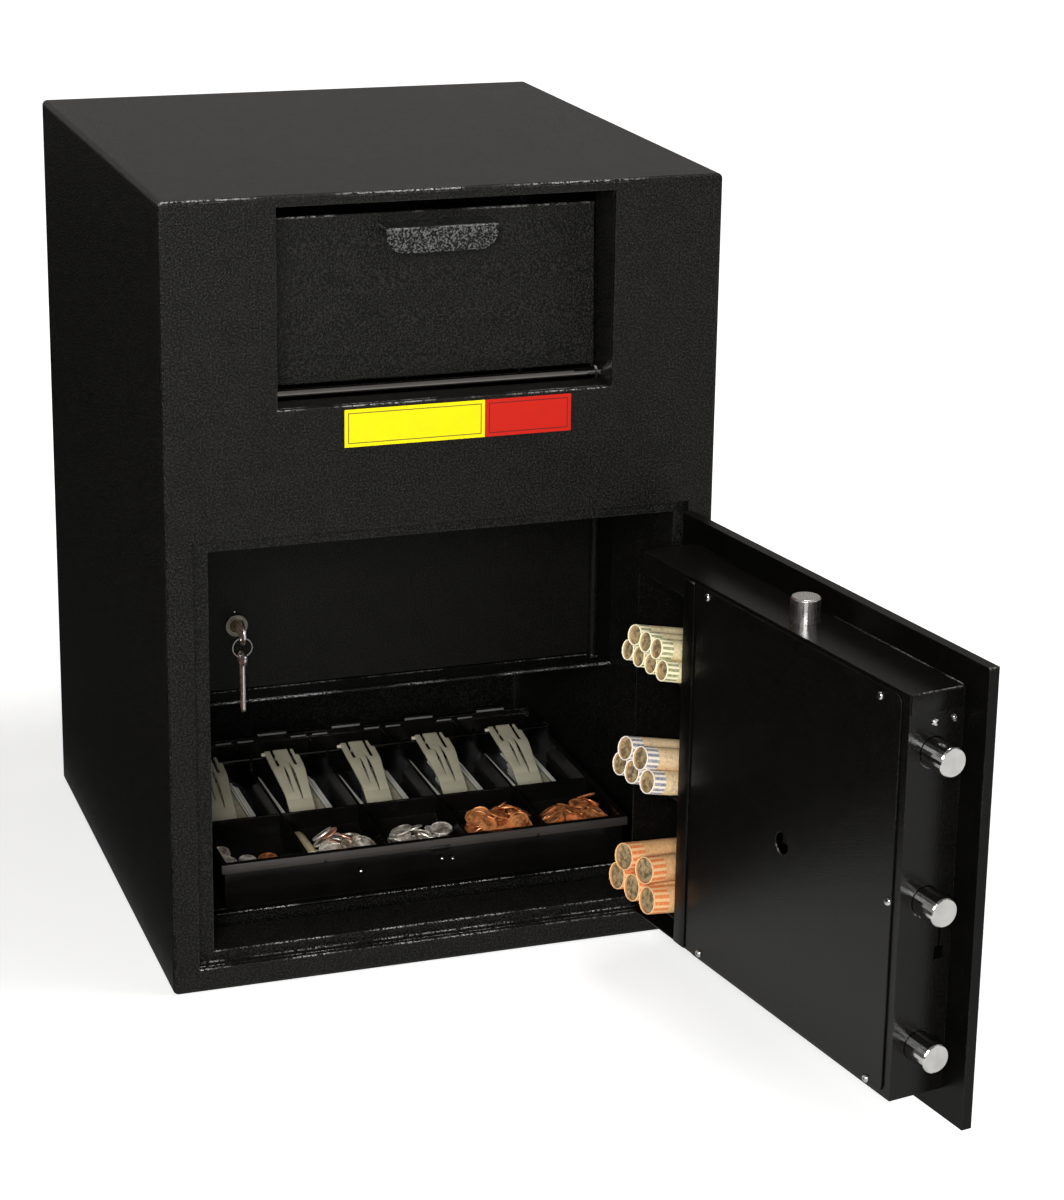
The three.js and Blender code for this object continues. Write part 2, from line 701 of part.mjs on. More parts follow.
function addBoltCarrier(door) {
  const x1 = carrierLeft + carrierWidth;
  const armTop = linkPinHeight + pinRadius + 8;
  const armBottom = armTop - armHeight;
  const armEnd = topBoltX + armReach;
  const y0 = boltFaceDepth - carrierThickness / 2 - 1;
  const y1 = y0 + carrierThickness;
  const pinX = handleX - camRadius * Math.sin(camStart);
  const pinZ = lockZ + camRadius * Math.cos(camStart);
  const camSlot = roundedRectangle(pinX - pinRadius - pinPlay, pinX + pinRadius + pinPlay,
    pinZ - pinRadius - 3, pinZ + pinRadius + 7, pinRadius);
  const slotHalf = pinRadius + pinPlay;
  const slotLength = Math.hypot(boltThrow, topBoltDrop);
  const slotAngle = Math.atan2(topBoltDrop, boltThrow);
  const slopeSlot = upright(
    roundedRectangle(-slotLength - slotHalf, slotHalf, -slotHalf, slotHalf, slotHalf * 0.98), y0 - 1, y1 + 1);
  slopeSlot.rotateY(-slotAngle).translate(topBoltX, 0, linkPinHeight);
  const carrier = cut(
    join(block(carrierLeft, x1, y0, y1, carrierBottom, carrierTop),
      block(x1 - 1, armEnd, y0, y1, armBottom, armTop)),
    upright(camSlot, y0 - 1, y1 + 1), slopeSlot);
  piece(door, 'bolt_carrier', carrier, 'steel');
}

function boltProfile(length) {
  const c = boltChamfer;
  return [[0, 0], [boltRadius, 0], [boltRadius, length - c], [boltRadius - c, length], [0, length]]
    .map(([r, h]) => new THREE.Vector2(r, h));
}

function addBolts(door) {
  const length = carrierLeft - fit - boltEndInset;
  for (const [name, z] of Object.entries(boltHeights)) {
    const bolt = piece(door, `door_bolt_${name}`, new THREE.LatheGeometry(boltProfile(length), 28), 'chrome');
    bolt.position.set(carrierLeft - fit, boltFaceDepth, z);
    bolt.rotation.z = Math.PI / 2;
  }
  const top = new THREE.LatheGeometry(boltProfile(topBoltTop - topBoltBottom), 28);
  const topBolt = piece(door, 'top_bolt', top, 'chrome');
  topBolt.position.set(topBoltX, boltFaceDepth, topBoltBottom);
  topBolt.rotation.x = Math.PI / 2;

  const y0 = boltFaceDepth + carrierThickness / 2 + 1;
  const link = join(
    block(topBoltX - linkWidth / 2, topBoltX + linkWidth / 2, y0, y0 + linkThickness,
      linkPinHeight - pinRadius - 3, topBoltBottom - fit),
    bar('y', pinRadius, y0 - carrierThickness - 3, y0 + 1, topBoltX, linkPinHeight, 24));
  piece(door, 'top_bolt_link', link, 'steel');

  const guideX = boxFreeInset + boxSheet + guideDistance;
  const guide = cut(
    join(block(guideX, guideX + guideSheet, fit, guideDepth, carrierBottom, carrierTop),
      block(guideX, guideX + guideFoot, fit, fit + guideSheet, carrierBottom, carrierTop)),
    ...Object.values(boltHeights).map(
      (z) => bar('x', boltRadius + boltHoleClearance, guideX - 1, guideX + guideFoot + 1, boltFaceDepth, z)));
  piece(door, 'bolt_guide', guide, 'steel');
}

function addLock(door) {
  const outer = -doorThickness;
  const lockTop = lockZ + lockHeight - lockDrop;
  const lockCase = cut(
    block(lockX - lockWidth / 2, lockX + lockWidth / 2, fit, lockDepth, lockZ - lockDrop, lockTop),
    bar('y', spindleRadius + fit, -1, lockDepth - 8, lockX, lockZ, 24));
  piece(door, 'lock_case', lockCase, 'steel');
  const ring = cut(
    bar('y', dialRingRadius, outer - fit - dialRingDepth, outer - fit, lockX, lockZ, 40),
    bar('y', dialRadius + 1, outer - fit - dialRingDepth - 1, outer - fit - 3, lockX, lockZ, 40),
    bar('y', spindleRadius + fit, outer - dialRingDepth - 2, outer + 1, lockX, lockZ, 24));
  piece(door, 'dial_ring', ring, 'plastic');
  const dial = group(door, lockX, outer - fit - 3 - fit, lockZ);
  const back = -dialDepth - dialKnobDepth;
  const face = join(bar('y', dialRadius, -dialDepth, 0, 0, 0, 40),
    bar('y', dialKnobRadius, back, -dialDepth + 1, 0, 0, 28),
    bar('y', spindleRadius, -1, doorThickness + lockDepth - 10, 0, 0, 24));
  piece(dial, 'dial', face, 'plastic');

  const plateFront = outer - fit - handlePlateDepth;
  const escutcheon = cut(bar('y', handlePlateRadius, plateFront, outer - fit, handleX, lockZ, 32),
    bar('y', handleSpindleRadius + fit, plateFront - 1, outer + 1, handleX, lockZ, 24));
  piece(door, 'handle_plate', escutcheon, 'chrome');
  const turn = group(door, handleX, 0, lockZ);
  const hubBack = plateFront - fit;
  const hubFront = hubBack - handleHubDepth;
  const lever = roundedRectangle(-handleWidth / 2, handleWidth / 2, -handleLength, handleWidth / 2,
    handleWidth / 2 - 0.5);
  const handle = join(bar('y', handleHubRadius, hubFront, hubBack, 0, 0, 28),
    upright(lever, hubFront, hubFront + handleThickness, 8),
    bar('y', handleSpindleRadius, hubBack - 1, camDepth - fit, 0, 0, 24));
  piece(turn, 'door_handle', handle, 'chrome');
  const arm = upright(roundedRectangle(-camArmWidth / 2, camArmWidth / 2, -camArmWidth / 2,
    camRadius + camArmWidth / 2, camArmWidth / 2 - 0.5), camDepth, camDepth + camArmDepth, 8);
  const cam = join(arm,
    bar('y', pinRadius, camDepth + camArmDepth - 1, boltFaceDepth + carrierThickness / 2, 0, camRadius, 24));
  const camPiece = piece(turn, 'handle_cam', cam, 'steel');
  camPiece.rotation.y = -camStart;
}

function addCoinRack(door) {
  const s = rackSheet;
  const mouthLeft = rackLeft + rackMouthInset;
  const floors = [{ shelf: rackBottom + s, slope: 0 }, ...rollFits, { shelf: rackTop, slope: 0 }];
  const heightAt = (floor, y) => floor.shelf - (boxDepth - y) * Math.tan(floor.slope);
  const cuts = [];
  for (let k = 0; k < rollFits.length + 1; k += 1) {
    const bay = (y0, y1, x0) => sideways(outline([
      [y0, heightAt(floors[k], y0)], [y1, heightAt(floors[k], y1)],
      [y1, heightAt(floors[k + 1], y1) - s], [y0, heightAt(floors[k + 1], y0) - s]]), x0, rackRight - s);
    cuts.push(bay(s + fit, boxDepth - s, rackLeft + s));
    cuts.push(bay(boxDepth - s - 1, boxDepth + 1, k === 0 ? rackLeft + s : mouthLeft));
  }
  const rack = cut(block(rackLeft, rackRight, fit, boxDepth, rackBottom, rackTop), ...cuts);
  piece(door, 'coin_rack', rack, 'sheet');
}

// each stack is two rows of paper rolls that lie on the rack's sloping shelf and touch each other
function addCoinRolls(door) {
  for (const roll of rollFits) {
    const rise = roll.radius * Math.sqrt(3) * rollSqueeze;
    const rolls = [];
    roll.back.forEach((row, level) => {
      row.forEach((back, i) => {
        const out = roll.out - back * rollStagger * Math.cos(roll.slope);
        const x = rackRight - rackSheet - rollSideGap - roll.side - (i + level / 2) * roll.pitch;
        const z = roll.shelf + (roll.out - boxDepth - back * rollStagger) * Math.tan(roll.slope)
          + (roll.radius + fit + level * rise) / Math.cos(roll.slope);
        const tube = bar('y', roll.radius, -roll.length, 0, 0, 0, 16);
        rolls.push(tube.rotateZ(roll.turn).rotateX(roll.slope).translate(x, out, z));
      });
    });
    piece(door, roll.name, join(...rolls), 'paper');
  }
}

function addMainDoor(parent) {
  const leaf = group(parent, hingeX, hingeY, 0);
  leaf.rotation.z = doorOpen;
  const door = group(leaf, doorLeft - hingeX, doorInner - hingeY, 0);
  addDoorHinges(parent, leaf);
  addDoorPlate(door);
  addBoltworkBox(door);
  addBoltworkCover(door);
  addBoltCarrier(door);
  addBolts(door);
  addLock(door);
  addCoinRack(door);
  addCoinRolls(door);
}

function addLocker(parent) {
  const shelfTop = lockerShelfZ + lockerSheet;
  piece(parent, 'locker_shelf',
    block(innerLeft, innerRight, lockerY - lockerShelfLip, backFace - fit, lockerShelfZ, shelfTop), 'powder');
  const pinY = lockerY - lockerPinForward;
  const earBack = lockerY + 1;
  const ears = [[lockerOpeningBottom - lockerEarHeight, lockerOpeningBottom],
    [lockerOpeningTop, lockerOpeningTop + lockerEarHeight]];
  const earBlocks = ears.map(([z0, z1]) => block(lockerPinX - lockerBarrelRadius,
    lockerPinX + lockerBarrelRadius, pinY - lockerBarrelRadius, earBack, z0, z1));
  const plate = cut(
    block(innerLeft, innerRight, lockerY, lockerY + lockerSheet, shelfTop + fit, chuteFloorZ - fit),
    block(lockerOpeningLeft, lockerOpeningRight, lockerY - 1, lockerY + lockerSheet + 1,
      lockerOpeningBottom, lockerOpeningTop));
  const fold = cut(
    block(lockerOpeningLeft - lockerSheet, lockerOpeningRight + lockerSheet,
      lockerY + 1, lockerY + lockerReturn, lockerOpeningBottom - lockerSheet, lockerOpeningTop + lockerSheet),
    block(lockerOpeningLeft, lockerOpeningRight, lockerY, lockerY + lockerReturn + 1,
      lockerOpeningBottom, lockerOpeningTop));
  const frame = cut(join(plate, fold, ...earBlocks),
    bar('z', lockerPinRadius + fit, lockerOpeningBottom - lockerEarHeight - 1,
      lockerOpeningTop + lockerEarHeight + 1, lockerPinX, pinY, 20));
  piece(parent, 'locker_frame', frame, 'powder');
  piece(parent, 'locker_hinge_pin', bar('z', lockerPinRadius, lockerOpeningBottom - lockerEarHeight,
    lockerOpeningTop + lockerEarHeight, lockerPinX, pinY, 20), 'steel');

  const locker = group(parent, lockerPinX, pinY, 0);
  const z0 = lockerOpeningBottom + lockerGap;
  const z1 = lockerOpeningTop - lockerGap;
  const lockX0 = camLockX - lockerPinX;
  const panelY = lockerPinForward;
  const panel = cut(
    join(block(lockerOpeningLeft + lockerGap - lockerPinX, 0, panelY, panelY + lockerSheet, z0, z1),
      bar('z', lockerBarrelRadius, z0, z1, 0, 0, 24)),
    bar('z', lockerPinRadius + fit, z0 - 1, z1 + 1, 0, 0, 20),
    bar('y', camLockBodyRadius + fit, panelY - 1, panelY + lockerSheet + 1, lockX0, camLockZ, 24));
  piece(locker, 'locker_door', panel, 'powder');

  const lock = group(locker, lockX0, panelY, camLockZ);
  const head = -fit - camLockHeadDepth;
  const body = cut(
    join(bar('y', camLockHeadRadius, head, -fit, 0, 0, 28),
      bar('y', camLockBodyRadius, -fit - 1, camLockBodyDepth, 0, 0, 24)),
    bar('y', plugRadius + fit, head - 1, camLockBodyDepth + 1, 0, 0, 24));
  piece(lock, 'cam_lock_body', body, 'chrome');

  const key = group(lock, 0, 0, 0);
  const half = keyThickness / 2;
  const plug = cut(bar('y', plugRadius, head + 0.5, camLockBodyDepth + fit, 0, 0, 24),
    block(-half - fit, half + fit, head - 1, camLockBodyDepth - 4, -keyShankWidth / 2 - fit,
      keyShankWidth / 2 + fit));
  piece(key, 'lock_plug', plug, 'brass');
  const tongue = cut(
    block(-camTongueWidth / 2, camTongueWidth / 2, camLockBodyDepth + 2 * fit, camLockBodyDepth + 2 * fit + 2.5,
      -camTongueLength, camTongueWidth / 2),
    bar('y', 2.5, camLockBodyDepth, camLockBodyDepth + 5, 0, 0, 20));
  piece(key, 'lock_cam', tongue, 'steel');
  const bowY = head - keyReach;
  const blade = join(bar('x', keyBowRadius, -half, half, bowY, 0, 20),
    block(-half, half, bowY, camLockBodyDepth - 6, -keyShankWidth / 2, keyShankWidth / 2));
  const holeZ = -keyBowRadius + keyHoleRadius + 2;
  const locker_key = cut(blade, bar('x', keyHoleRadius, -half - 1, half + 1, bowY, holeZ, 20));
  piece(key, 'locker_key', locker_key, 'steel');

  const hang = group(key, 0, bowY, holeZ);
  const ringDrop = -keyRingRadius + keyHoleRadius - keyRingWire - fit;
  const ring = new THREE.TorusGeometry(keyRingRadius, keyRingWire, 6, 24);
  const ringPiece = piece(hang, 'key_ring', ring, 'chrome');
  ringPiece.rotation.x = Math.PI / 2;
  ringPiece.position.z = ringDrop;
  const spareHole = ringDrop - keyRingRadius - keyRingWire - fit + keyHoleRadius;
  const spare = cut(
    join(bar('x', keyBowRadius, -half, half, 0, 0, 20),
      block(-half, half, -keyShankWidth / 2, keyShankWidth / 2, -spareKeyLength, 0)),
    bar('x', keyHoleRadius, -half - 1, half + 1, 0, keyBowRadius - keyHoleRadius - 2, 20));
  const sparePiece = piece(hang, 'spare_key', spare, 'steel');
  sparePiece.position.z = spareHole - keyBowRadius + keyHoleRadius + 2;
}

function addTill(parent) {
  const s = tillShelfSheet;
  const shelfBack = tillFront + tillDepth + tillShelfBackMargin;
  const fold = outline([[tillShelfFront, innerLeft], [tillShelfFront + s, innerLeft],
    [tillShelfFront + s, tillShelfTop - s], [shelfBack - s, tillShelfTop - s], [shelfBack - s, innerLeft],
    [shelfBack, innerLeft], [shelfBack, tillShelfTop], [tillShelfFront, tillShelfTop]]);
  piece(parent, 'till_shelf',
    sideways(fold, innerLeft + tillShelfSideGap, innerRight - tillShelfSideGap), 'powder');

  const till = group(parent, tillLeft, tillFront, tillBottom);
  const lap = tillRimLap;
  const tray = join(
    block(lap, tillWidth - lap, lap, tillDepth - lap, 0, tillHeight),
    block(0, tillWidth, 0, tillDepth, tillHeight - tillRim, tillHeight),
    block(0, tillWidth, tillDepth - railDepth, tillDepth, tillHeight - 1, tillHeight + railHeight / 2));
  const inside = lap + tillWall;
  const pitch = (tillWidth - 2 * inside + tillDivider) / tillBays;
  const cuts = [];
  const tabs = [];
  for (let i = 0; i < tillBays; i += 1) {
    const x0 = inside + i * pitch;
    const x1 = x0 + pitch - tillDivider;
    cuts.push(block(x0, x1, inside, inside + tillCupDepth, tillFloor, tillHeight + 1));
    cuts.push(block(x0, x1, inside + tillCupDepth + tillDivider, tillDepth - railDepth - tillWall,
      tillFloor, tillHeight + 1));
    const middle = (x0 + x1) / 2;
    tabs.push(block(middle - railTabWidth / 2, middle + railTabWidth / 2, tillDepth - railDepth, tillDepth,
      tillHeight, tillHeight + railHeight));
  }
  const bayFront = inside + tillCupDepth + tillDivider;
  const rodY = bayFront + weightFootGap + weightFootRun + weightWaistRun + weightTopRun;
  const rodZ = tillHeight + weightRodRise;
  const seat = (x0, x1) => block(x0, x1, rodY - weightRodSeat, rodY + weightRodSeat,
    tillHeight - 1, rodZ + weightRodSeat);
  const rodSeats = [seat(lap, inside), seat(tillWidth - inside, tillWidth - lap)];
  for (let i = 1; i < tillBays; i += 1) {
    rodSeats.push(seat(inside + i * pitch - tillDivider, inside + i * pitch));
  }
  const rodBore = bar('x', weightRodRadius + fit, -1, tillWidth + 1, rodY, rodZ, 12);
  piece(till, 'till_tray', cut(join(cut(tray, ...cuts), ...tabs, ...rodSeats), rodBore), 'plastic');
  piece(till, 'weight_rod', bar('x', weightRodRadius, lap, tillWidth - lap, rodY, rodZ, 12), 'steel');

  for (let i = 0; i < tillBays; i += 1) {
    const x = inside + i * pitch + weightInset + weightTopWidth / 2;
    const weight = group(till, x, rodY, rodZ);
    piece(weight, `bill_weight_${i + 1}`, billWeight(), 'weight');
  }
}

// an arm bent down in three runs, with three fingers at the back and a narrower square foot
function billWeight() {
  const top = weightTopWidth / 2;
  const foot = weightFootWidth / 2;
  const finger = weightFingerWidth / 2;
  const slotEnd = finger + weightSlotWidth;
  const tail = weightTailLength;
  const waist = -weightTopRun;
  const ankle = waist - weightWaistRun;
  const toe = ankle - weightFootRun;
  const slotFloor = tail - weightSlotLength;
  const step = top - weightStepWidth;
  const plan = outline([[-finger, tail], [-finger, slotFloor], [-slotEnd, slotFloor], [-slotEnd, tail],
    [-top, tail], [-top, waist], [-foot, ankle], [-foot, toe], [foot, toe], [foot, ankle], [top, waist],
    [top, tail - weightStepLength], [step, tail - weightStepLength], [step, tail], [slotEnd, tail],
    [slotEnd, slotFloor], [finger, slotFloor], [finger, tail]]);

  const level = weightEyeRadius;
  const heights = [[tail + 1, level + (tail + 1) * Math.tan(weightTopSlope)]];
  heights.push([waist, level + waist * Math.tan(weightTopSlope)]);
  heights.push([ankle, heights[1][1] - weightWaistRun * Math.tan(weightWaistSlope)]);
  heights.push([toe - 1, heights[2][1] - (weightFootRun + 1) * Math.tan(weightFootSlope)]);
  const under = heights.map(([y, z]) => [y, z - weightThickness]).reverse();
  const profile = sideways(outline([...heights, ...under]), -top - 1, top + 1);
  const drop = level - heights[3][1] + weightThickness;
  const arm = overlap(flat(plan, -drop, level + tail), profile);

  const eye = bar('x', weightEyeRadius, -weightEyeWidth / 2, weightEyeWidth / 2, 0, 0, 14);
  const bore = bar('x', weightRodRadius + fit, -weightEyeWidth, weightEyeWidth, 0, 0, 12);
  return cut(join(arm, eye), bore);
}

function addLabels(parent) {
  const labelTop = hopperBottom - labelDrop;
  const bottom = labelTop - labelHeight;
  const labelLeft = hopperLeft + labelInset;
  const redLeft = labelLeft + yellowWidth + fit;
  piece(parent, 'label_yellow',
    block(labelLeft, labelLeft + yellowWidth, -labelThickness - fit, -fit, bottom, labelTop), 'yellow');
  piece(parent, 'label_red',
    block(redLeft, redLeft + redWidth, -labelThickness - fit, -fit, bottom, labelTop), 'red');
}

const safe = new THREE.Group();
const cabinet = group(safe, -bodyWidth / 2, -bodyDepth / 2, 0);
addBodyShell(cabinet);
addDoorFrame(cabinet);
addHopperFrame(cabinet);
addHopper(cabinet);
addChute(cabinet);
addMainDoor(cabinet);
addLocker(cabinet);
addTill(cabinet);
addLabels(cabinet);

export default safe;
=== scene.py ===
# Drop safe with a tilting hopper, a bolt-work door, an inner locker and a cash till.
# Metres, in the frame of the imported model: +Z up, the front faces -Y.
import json
import math
import random

import bmesh
import bpy
from mathutils import Matrix, Vector


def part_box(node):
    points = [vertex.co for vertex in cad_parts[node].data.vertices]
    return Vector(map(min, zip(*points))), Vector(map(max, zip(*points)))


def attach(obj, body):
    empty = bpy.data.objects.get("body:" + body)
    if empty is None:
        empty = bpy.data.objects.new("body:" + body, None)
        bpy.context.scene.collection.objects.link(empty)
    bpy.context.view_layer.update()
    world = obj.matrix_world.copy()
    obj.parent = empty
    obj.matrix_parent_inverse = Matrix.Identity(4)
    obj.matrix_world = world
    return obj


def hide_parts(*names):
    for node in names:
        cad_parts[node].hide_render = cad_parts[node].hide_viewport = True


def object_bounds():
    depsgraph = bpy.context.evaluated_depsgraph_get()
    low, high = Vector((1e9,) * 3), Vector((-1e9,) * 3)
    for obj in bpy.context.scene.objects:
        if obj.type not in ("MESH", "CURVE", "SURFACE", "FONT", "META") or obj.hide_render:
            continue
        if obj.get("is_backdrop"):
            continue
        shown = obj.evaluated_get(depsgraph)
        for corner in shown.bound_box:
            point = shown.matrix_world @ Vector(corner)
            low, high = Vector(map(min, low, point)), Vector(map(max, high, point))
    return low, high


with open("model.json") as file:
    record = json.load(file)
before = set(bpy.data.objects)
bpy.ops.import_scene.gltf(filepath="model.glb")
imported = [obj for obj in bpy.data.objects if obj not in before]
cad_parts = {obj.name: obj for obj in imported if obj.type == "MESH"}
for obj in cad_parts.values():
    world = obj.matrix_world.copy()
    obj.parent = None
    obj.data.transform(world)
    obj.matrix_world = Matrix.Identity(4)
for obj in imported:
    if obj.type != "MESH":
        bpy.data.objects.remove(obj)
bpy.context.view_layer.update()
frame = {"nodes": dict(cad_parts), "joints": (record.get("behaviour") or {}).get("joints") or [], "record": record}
nodes = frame["nodes"]
joints = {joint["name"]: joint for joint in frame["joints"]}
mm = 0.001


# shader helpers: they add their nodes to the tree that is being built
canvas = {}


def setSockets(node, values):
    # each socket takes a link, a colour or a plain value; None leaves it alone
    for key, value in values.items():
        socket = node.inputs[key]
        if isinstance(value, bpy.types.NodeSocket):
            canvas["tree"].links.new(value, socket)
        elif socket.type == "RGBA":
            socket.default_value = (*value[:3], 1.0)
        elif value is not None:
            socket.default_value = value
    return node.outputs


def addNode(kind, values=None, operation=None):
    node = canvas["tree"].nodes.new(kind)
    if operation:
        node.operation = operation
    return setSockets(node, values or {})


def calc(operation, a, *others):
    # one operation folded over its values from the left
    for b in others or (None,):
        a = addNode("ShaderNodeMath", {0: a, 1: b}, operation)[0]
    return a


def times(*values):
    return calc("MULTIPLY", *values)


def within(value, low, high):
    return times(calc("GREATER_THAN", value, low), calc("LESS_THAN", value, high))


def insideEdges(*spans):
    # distance from the nearest edge, from (value, low, high) of each direction
    return calc("MINIMUM", *(calc("MINIMUM", calc("SUBTRACT", value, low),
        calc("SUBTRACT", high, value)) for value, low, high in spans))


def noise(vector, scale, detail=2.0, roughness=0.5):
    return addNode("ShaderNodeTexNoise",
        {"Vector": vector, "Scale": scale, "Detail": detail, "Roughness": roughness})["Fac"]


def remap(value, low, high, outLow=0.0, outHigh=1.0):
    return addNode("ShaderNodeMapRange",
        {"Value": value, "From Min": low, "From Max": high, "To Min": outLow, "To Max": outHigh})["Result"]


def mixColour(factor, a, b):
    node = canvas["tree"].nodes.new("ShaderNodeMix")
    node.data_type = "RGBA"
    return setSockets(node, {0: factor, 6: a, 7: b})[2]


def objectPlace():
    return addNode("ShaderNodeTexCoord")["Object"]


def uvPlace(layer):
    uv = canvas["tree"].nodes.new("ShaderNodeUVMap")
    uv.uv_map = layer
    split = addNode("ShaderNodeSeparateXYZ", {0: uv.outputs[0]})
    return uv.outputs[0], split["X"], split["Y"]


# shader effects
def startGroup(name, inputs, outputs):
    group = canvas["tree"] = bpy.data.node_groups.new(name, "ShaderNodeTree")
    for label, value in inputs.items():
        kind = "NodeSocketVector" if isinstance(value, tuple) else "NodeSocketFloat"
        group.interface.new_socket(name=label, in_out="INPUT", socket_type=kind).default_value = value
    for label in outputs:
        group.interface.new_socket(name=label, in_out="OUTPUT", socket_type="NodeSocketFloat")
    return group, group.nodes.new("NodeGroupInput").outputs, group.nodes.new("NodeGroupOutput")


def makeOrangePeel():
    # the fine dimples of powder coat or moulded plastic, with a coarser drift under them
    group, given, out = startGroup("orangePeel", {"Dimples": 700.0, "Drift": 60.0, "Grit": 0.25}, ["Height", "Gloss"])
    place = objectPlace()
    fine = noise(place, given["Dimples"], 1.5, 0.55)
    grit = noise(place, times(given["Dimples"], 2.6), 1.0)
    drift = noise(place, given["Drift"])
    height = calc("ADD", fine, times(grit, given["Grit"]), times(drift, 0.08))
    setSockets(out, {"Height": height, "Gloss": remap(drift, 0.3, 0.7, -1.0, 1.0)})
    return group


def makeEdgeWearAndGlint():
    # painted highlight along sharp edges, partly rubbed paint, broken up by noise: strongest on edges facing up and to
    # the front, where the lamps' glints fall
    group, given, out = startGroup("edgeWearAndGlint",
        {"Radius": 0.002, "Amount": 0.5, "Break Up": 420.0, "Sideways": 0.02}, ["Mask"])
    bevel = group.nodes.new("ShaderNodeBevel")
    bevel.samples = 4
    softened = setSockets(bevel, {"Radius": given["Radius"]})["Normal"]
    flat = addNode("ShaderNodeNewGeometry")["Normal"]
    edge = remap(addNode("ShaderNodeVectorMath", {0: softened, 1: flat}, "DOT_PRODUCT")["Value"], 0.995, 0.93)
    split = addNode("ShaderNodeSeparateXYZ", {0: softened})
    # edges facing up and to the front are where the lamps glint: painted highlight
    glintFacing = times(remap(split["Z"], 0.25, 0.6), remap(split["Y"], -0.15, -0.45))
    place = objectPlace()
    patches = remap(noise(place, 16.0), 0.43, 0.58, 0.03, 1.0)
    chips = remap(noise(place, given["Break Up"], 2.0, 0.6), 0.44, 0.56)
    glintAndRub = calc("MAXIMUM", glintFacing, given["Sideways"])
    setSockets(out, {"Mask": times(edge, glintAndRub, chips, patches, given["Amount"])})
    return group


def makeDust():
    # a thin film that settles on faces that look up
    group, given, out = startGroup("settledDust", {"Amount": 0.3, "Specks": 900.0}, ["Mask"])
    split = addNode("ShaderNodeSeparateXYZ", {0: addNode("ShaderNodeNewGeometry")["Normal"]})
    place = objectPlace()
    film = remap(noise(place, 9.0, 4.0, 0.6), 0.35, 0.75)
    specks = remap(noise(place, given["Specks"], 1.0), 0.66, 0.74)
    cover = calc("ADD", times(film, 0.6), specks)
    setSockets(out, {"Mask": times(remap(split["Z"], 0.55, 1.0), cover, given["Amount"])})
    return group


def makeStreaks():
    # long fine scratches along one axis of the piece
    group, given, out = startGroup("fineStreaks", {"Along": (1.0, 1.0, 0.04), "Fineness": 1500.0}, ["Height"])
    stretched = addNode("ShaderNodeVectorMath", {0: objectPlace(), 1: given["Along"]}, "MULTIPLY")[0]
    setSockets(out, {"Height": noise(stretched, given["Fineness"])})
    return group


effects = {"orangePeel": makeOrangePeel(), "edgeWearAndGlint": makeEdgeWearAndGlint(), "settledDust": makeDust(),
    "fineStreaks": makeStreaks()}
print("shader effects ready")


def useEffect(name, **values):
    node = canvas["tree"].nodes.new("ShaderNodeGroup")
    node.node_tree = effects[name]
    return setSockets(node, values)


# finishes
def startMaterial(name, roughness, metallic=0.0, specular=0.5):
    material = bpy.data.materials.new(name)
    material.use_nodes = True
    canvas["tree"] = material.node_tree
    shader = material.node_tree.nodes["Principled BSDF"]
    setSockets(shader, {"Roughness": roughness, "Metallic": metallic, "Specular IOR Level": specular})
    return material, shader


def dress(shader, colour, rough, height, depth):
    # what every finish drives: its colour, its roughness and a fine bump
    bump = addNode("ShaderNodeBump", {"Height": height, "Strength": 1.0, "Distance": depth})
    setSockets(shader, {"Base Color": colour, "Roughness": rough, "Normal": bump["Normal"]})


def coatFinish(name, look):
    # paint or moulded plastic: dimples, a slow drift of tone, lighter edges (painted highlight, partly rubbed paint)
    # and a little dust
    material, shader = startMaterial(name, look["roughness"], 0.0, look["specular"])
    peel = useEffect("orangePeel", Dimples=look["dimples"], Drift=look["drift"], Grit=look["grit"])
    wearAndGlint = useEffect("edgeWearAndGlint", Radius=look["wearAndGlintRadius"], Amount=look["wearAndGlint"])["Mask"]
    dust = useEffect("settledDust", Amount=look["dust"])["Mask"]
    colour = mixColour(remap(peel["Gloss"], -1.0, 1.0), look["colour"], look["colourDrift"])
    # painted highlight: the crests of the dimples take a lighter colour in place of their glints
    if "crestHighlight" in look:
        colour = mixColour(remap(peel["Height"], *look["crestHighlightSpan"]), colour, look["crestHighlight"])
    colour = mixColour(dust, colour, look["dustColour"])
    # painted highlight along the edges, partly rubbed paint
    colour = mixColour(wearAndGlint, colour, look["wearAndGlintColour"])
    low, high = look["roughness"] - look["roughnessDrift"], look["roughness"] + look["roughnessDrift"]
    rough = remap(peel["Gloss"], -1.0, 1.0, low, high)
    rough = calc("ADD", rough, times(dust, look["dustRoughness"]))
    dress(shader, colour, rough, peel["Height"], look["peelDepth"])
    return material


def metalFinish(name, look):
    # bare or plated metal: fine streaks and cloudy stains
    material, shader = startMaterial(name, look["roughness"], 1.0)
    streaks = useEffect("fineStreaks", Along=look["along"], Fineness=look["fineness"])["Height"]
    cloud = noise(objectPlace(), look["cloud"], 4.0, 0.6)
    rough = remap(cloud, 0.3, 0.7, look["roughness"], look["roughness"] + look["roughnessDrift"])
    rough = calc("ADD", rough, remap(streaks, 0.4, 0.6, -0.03, 0.03))
    colour = mixColour(remap(cloud, 0.35, 0.7), look["colour"], look["stain"])
    dress(shader, colour, rough, streaks, look["depth"])
    return material


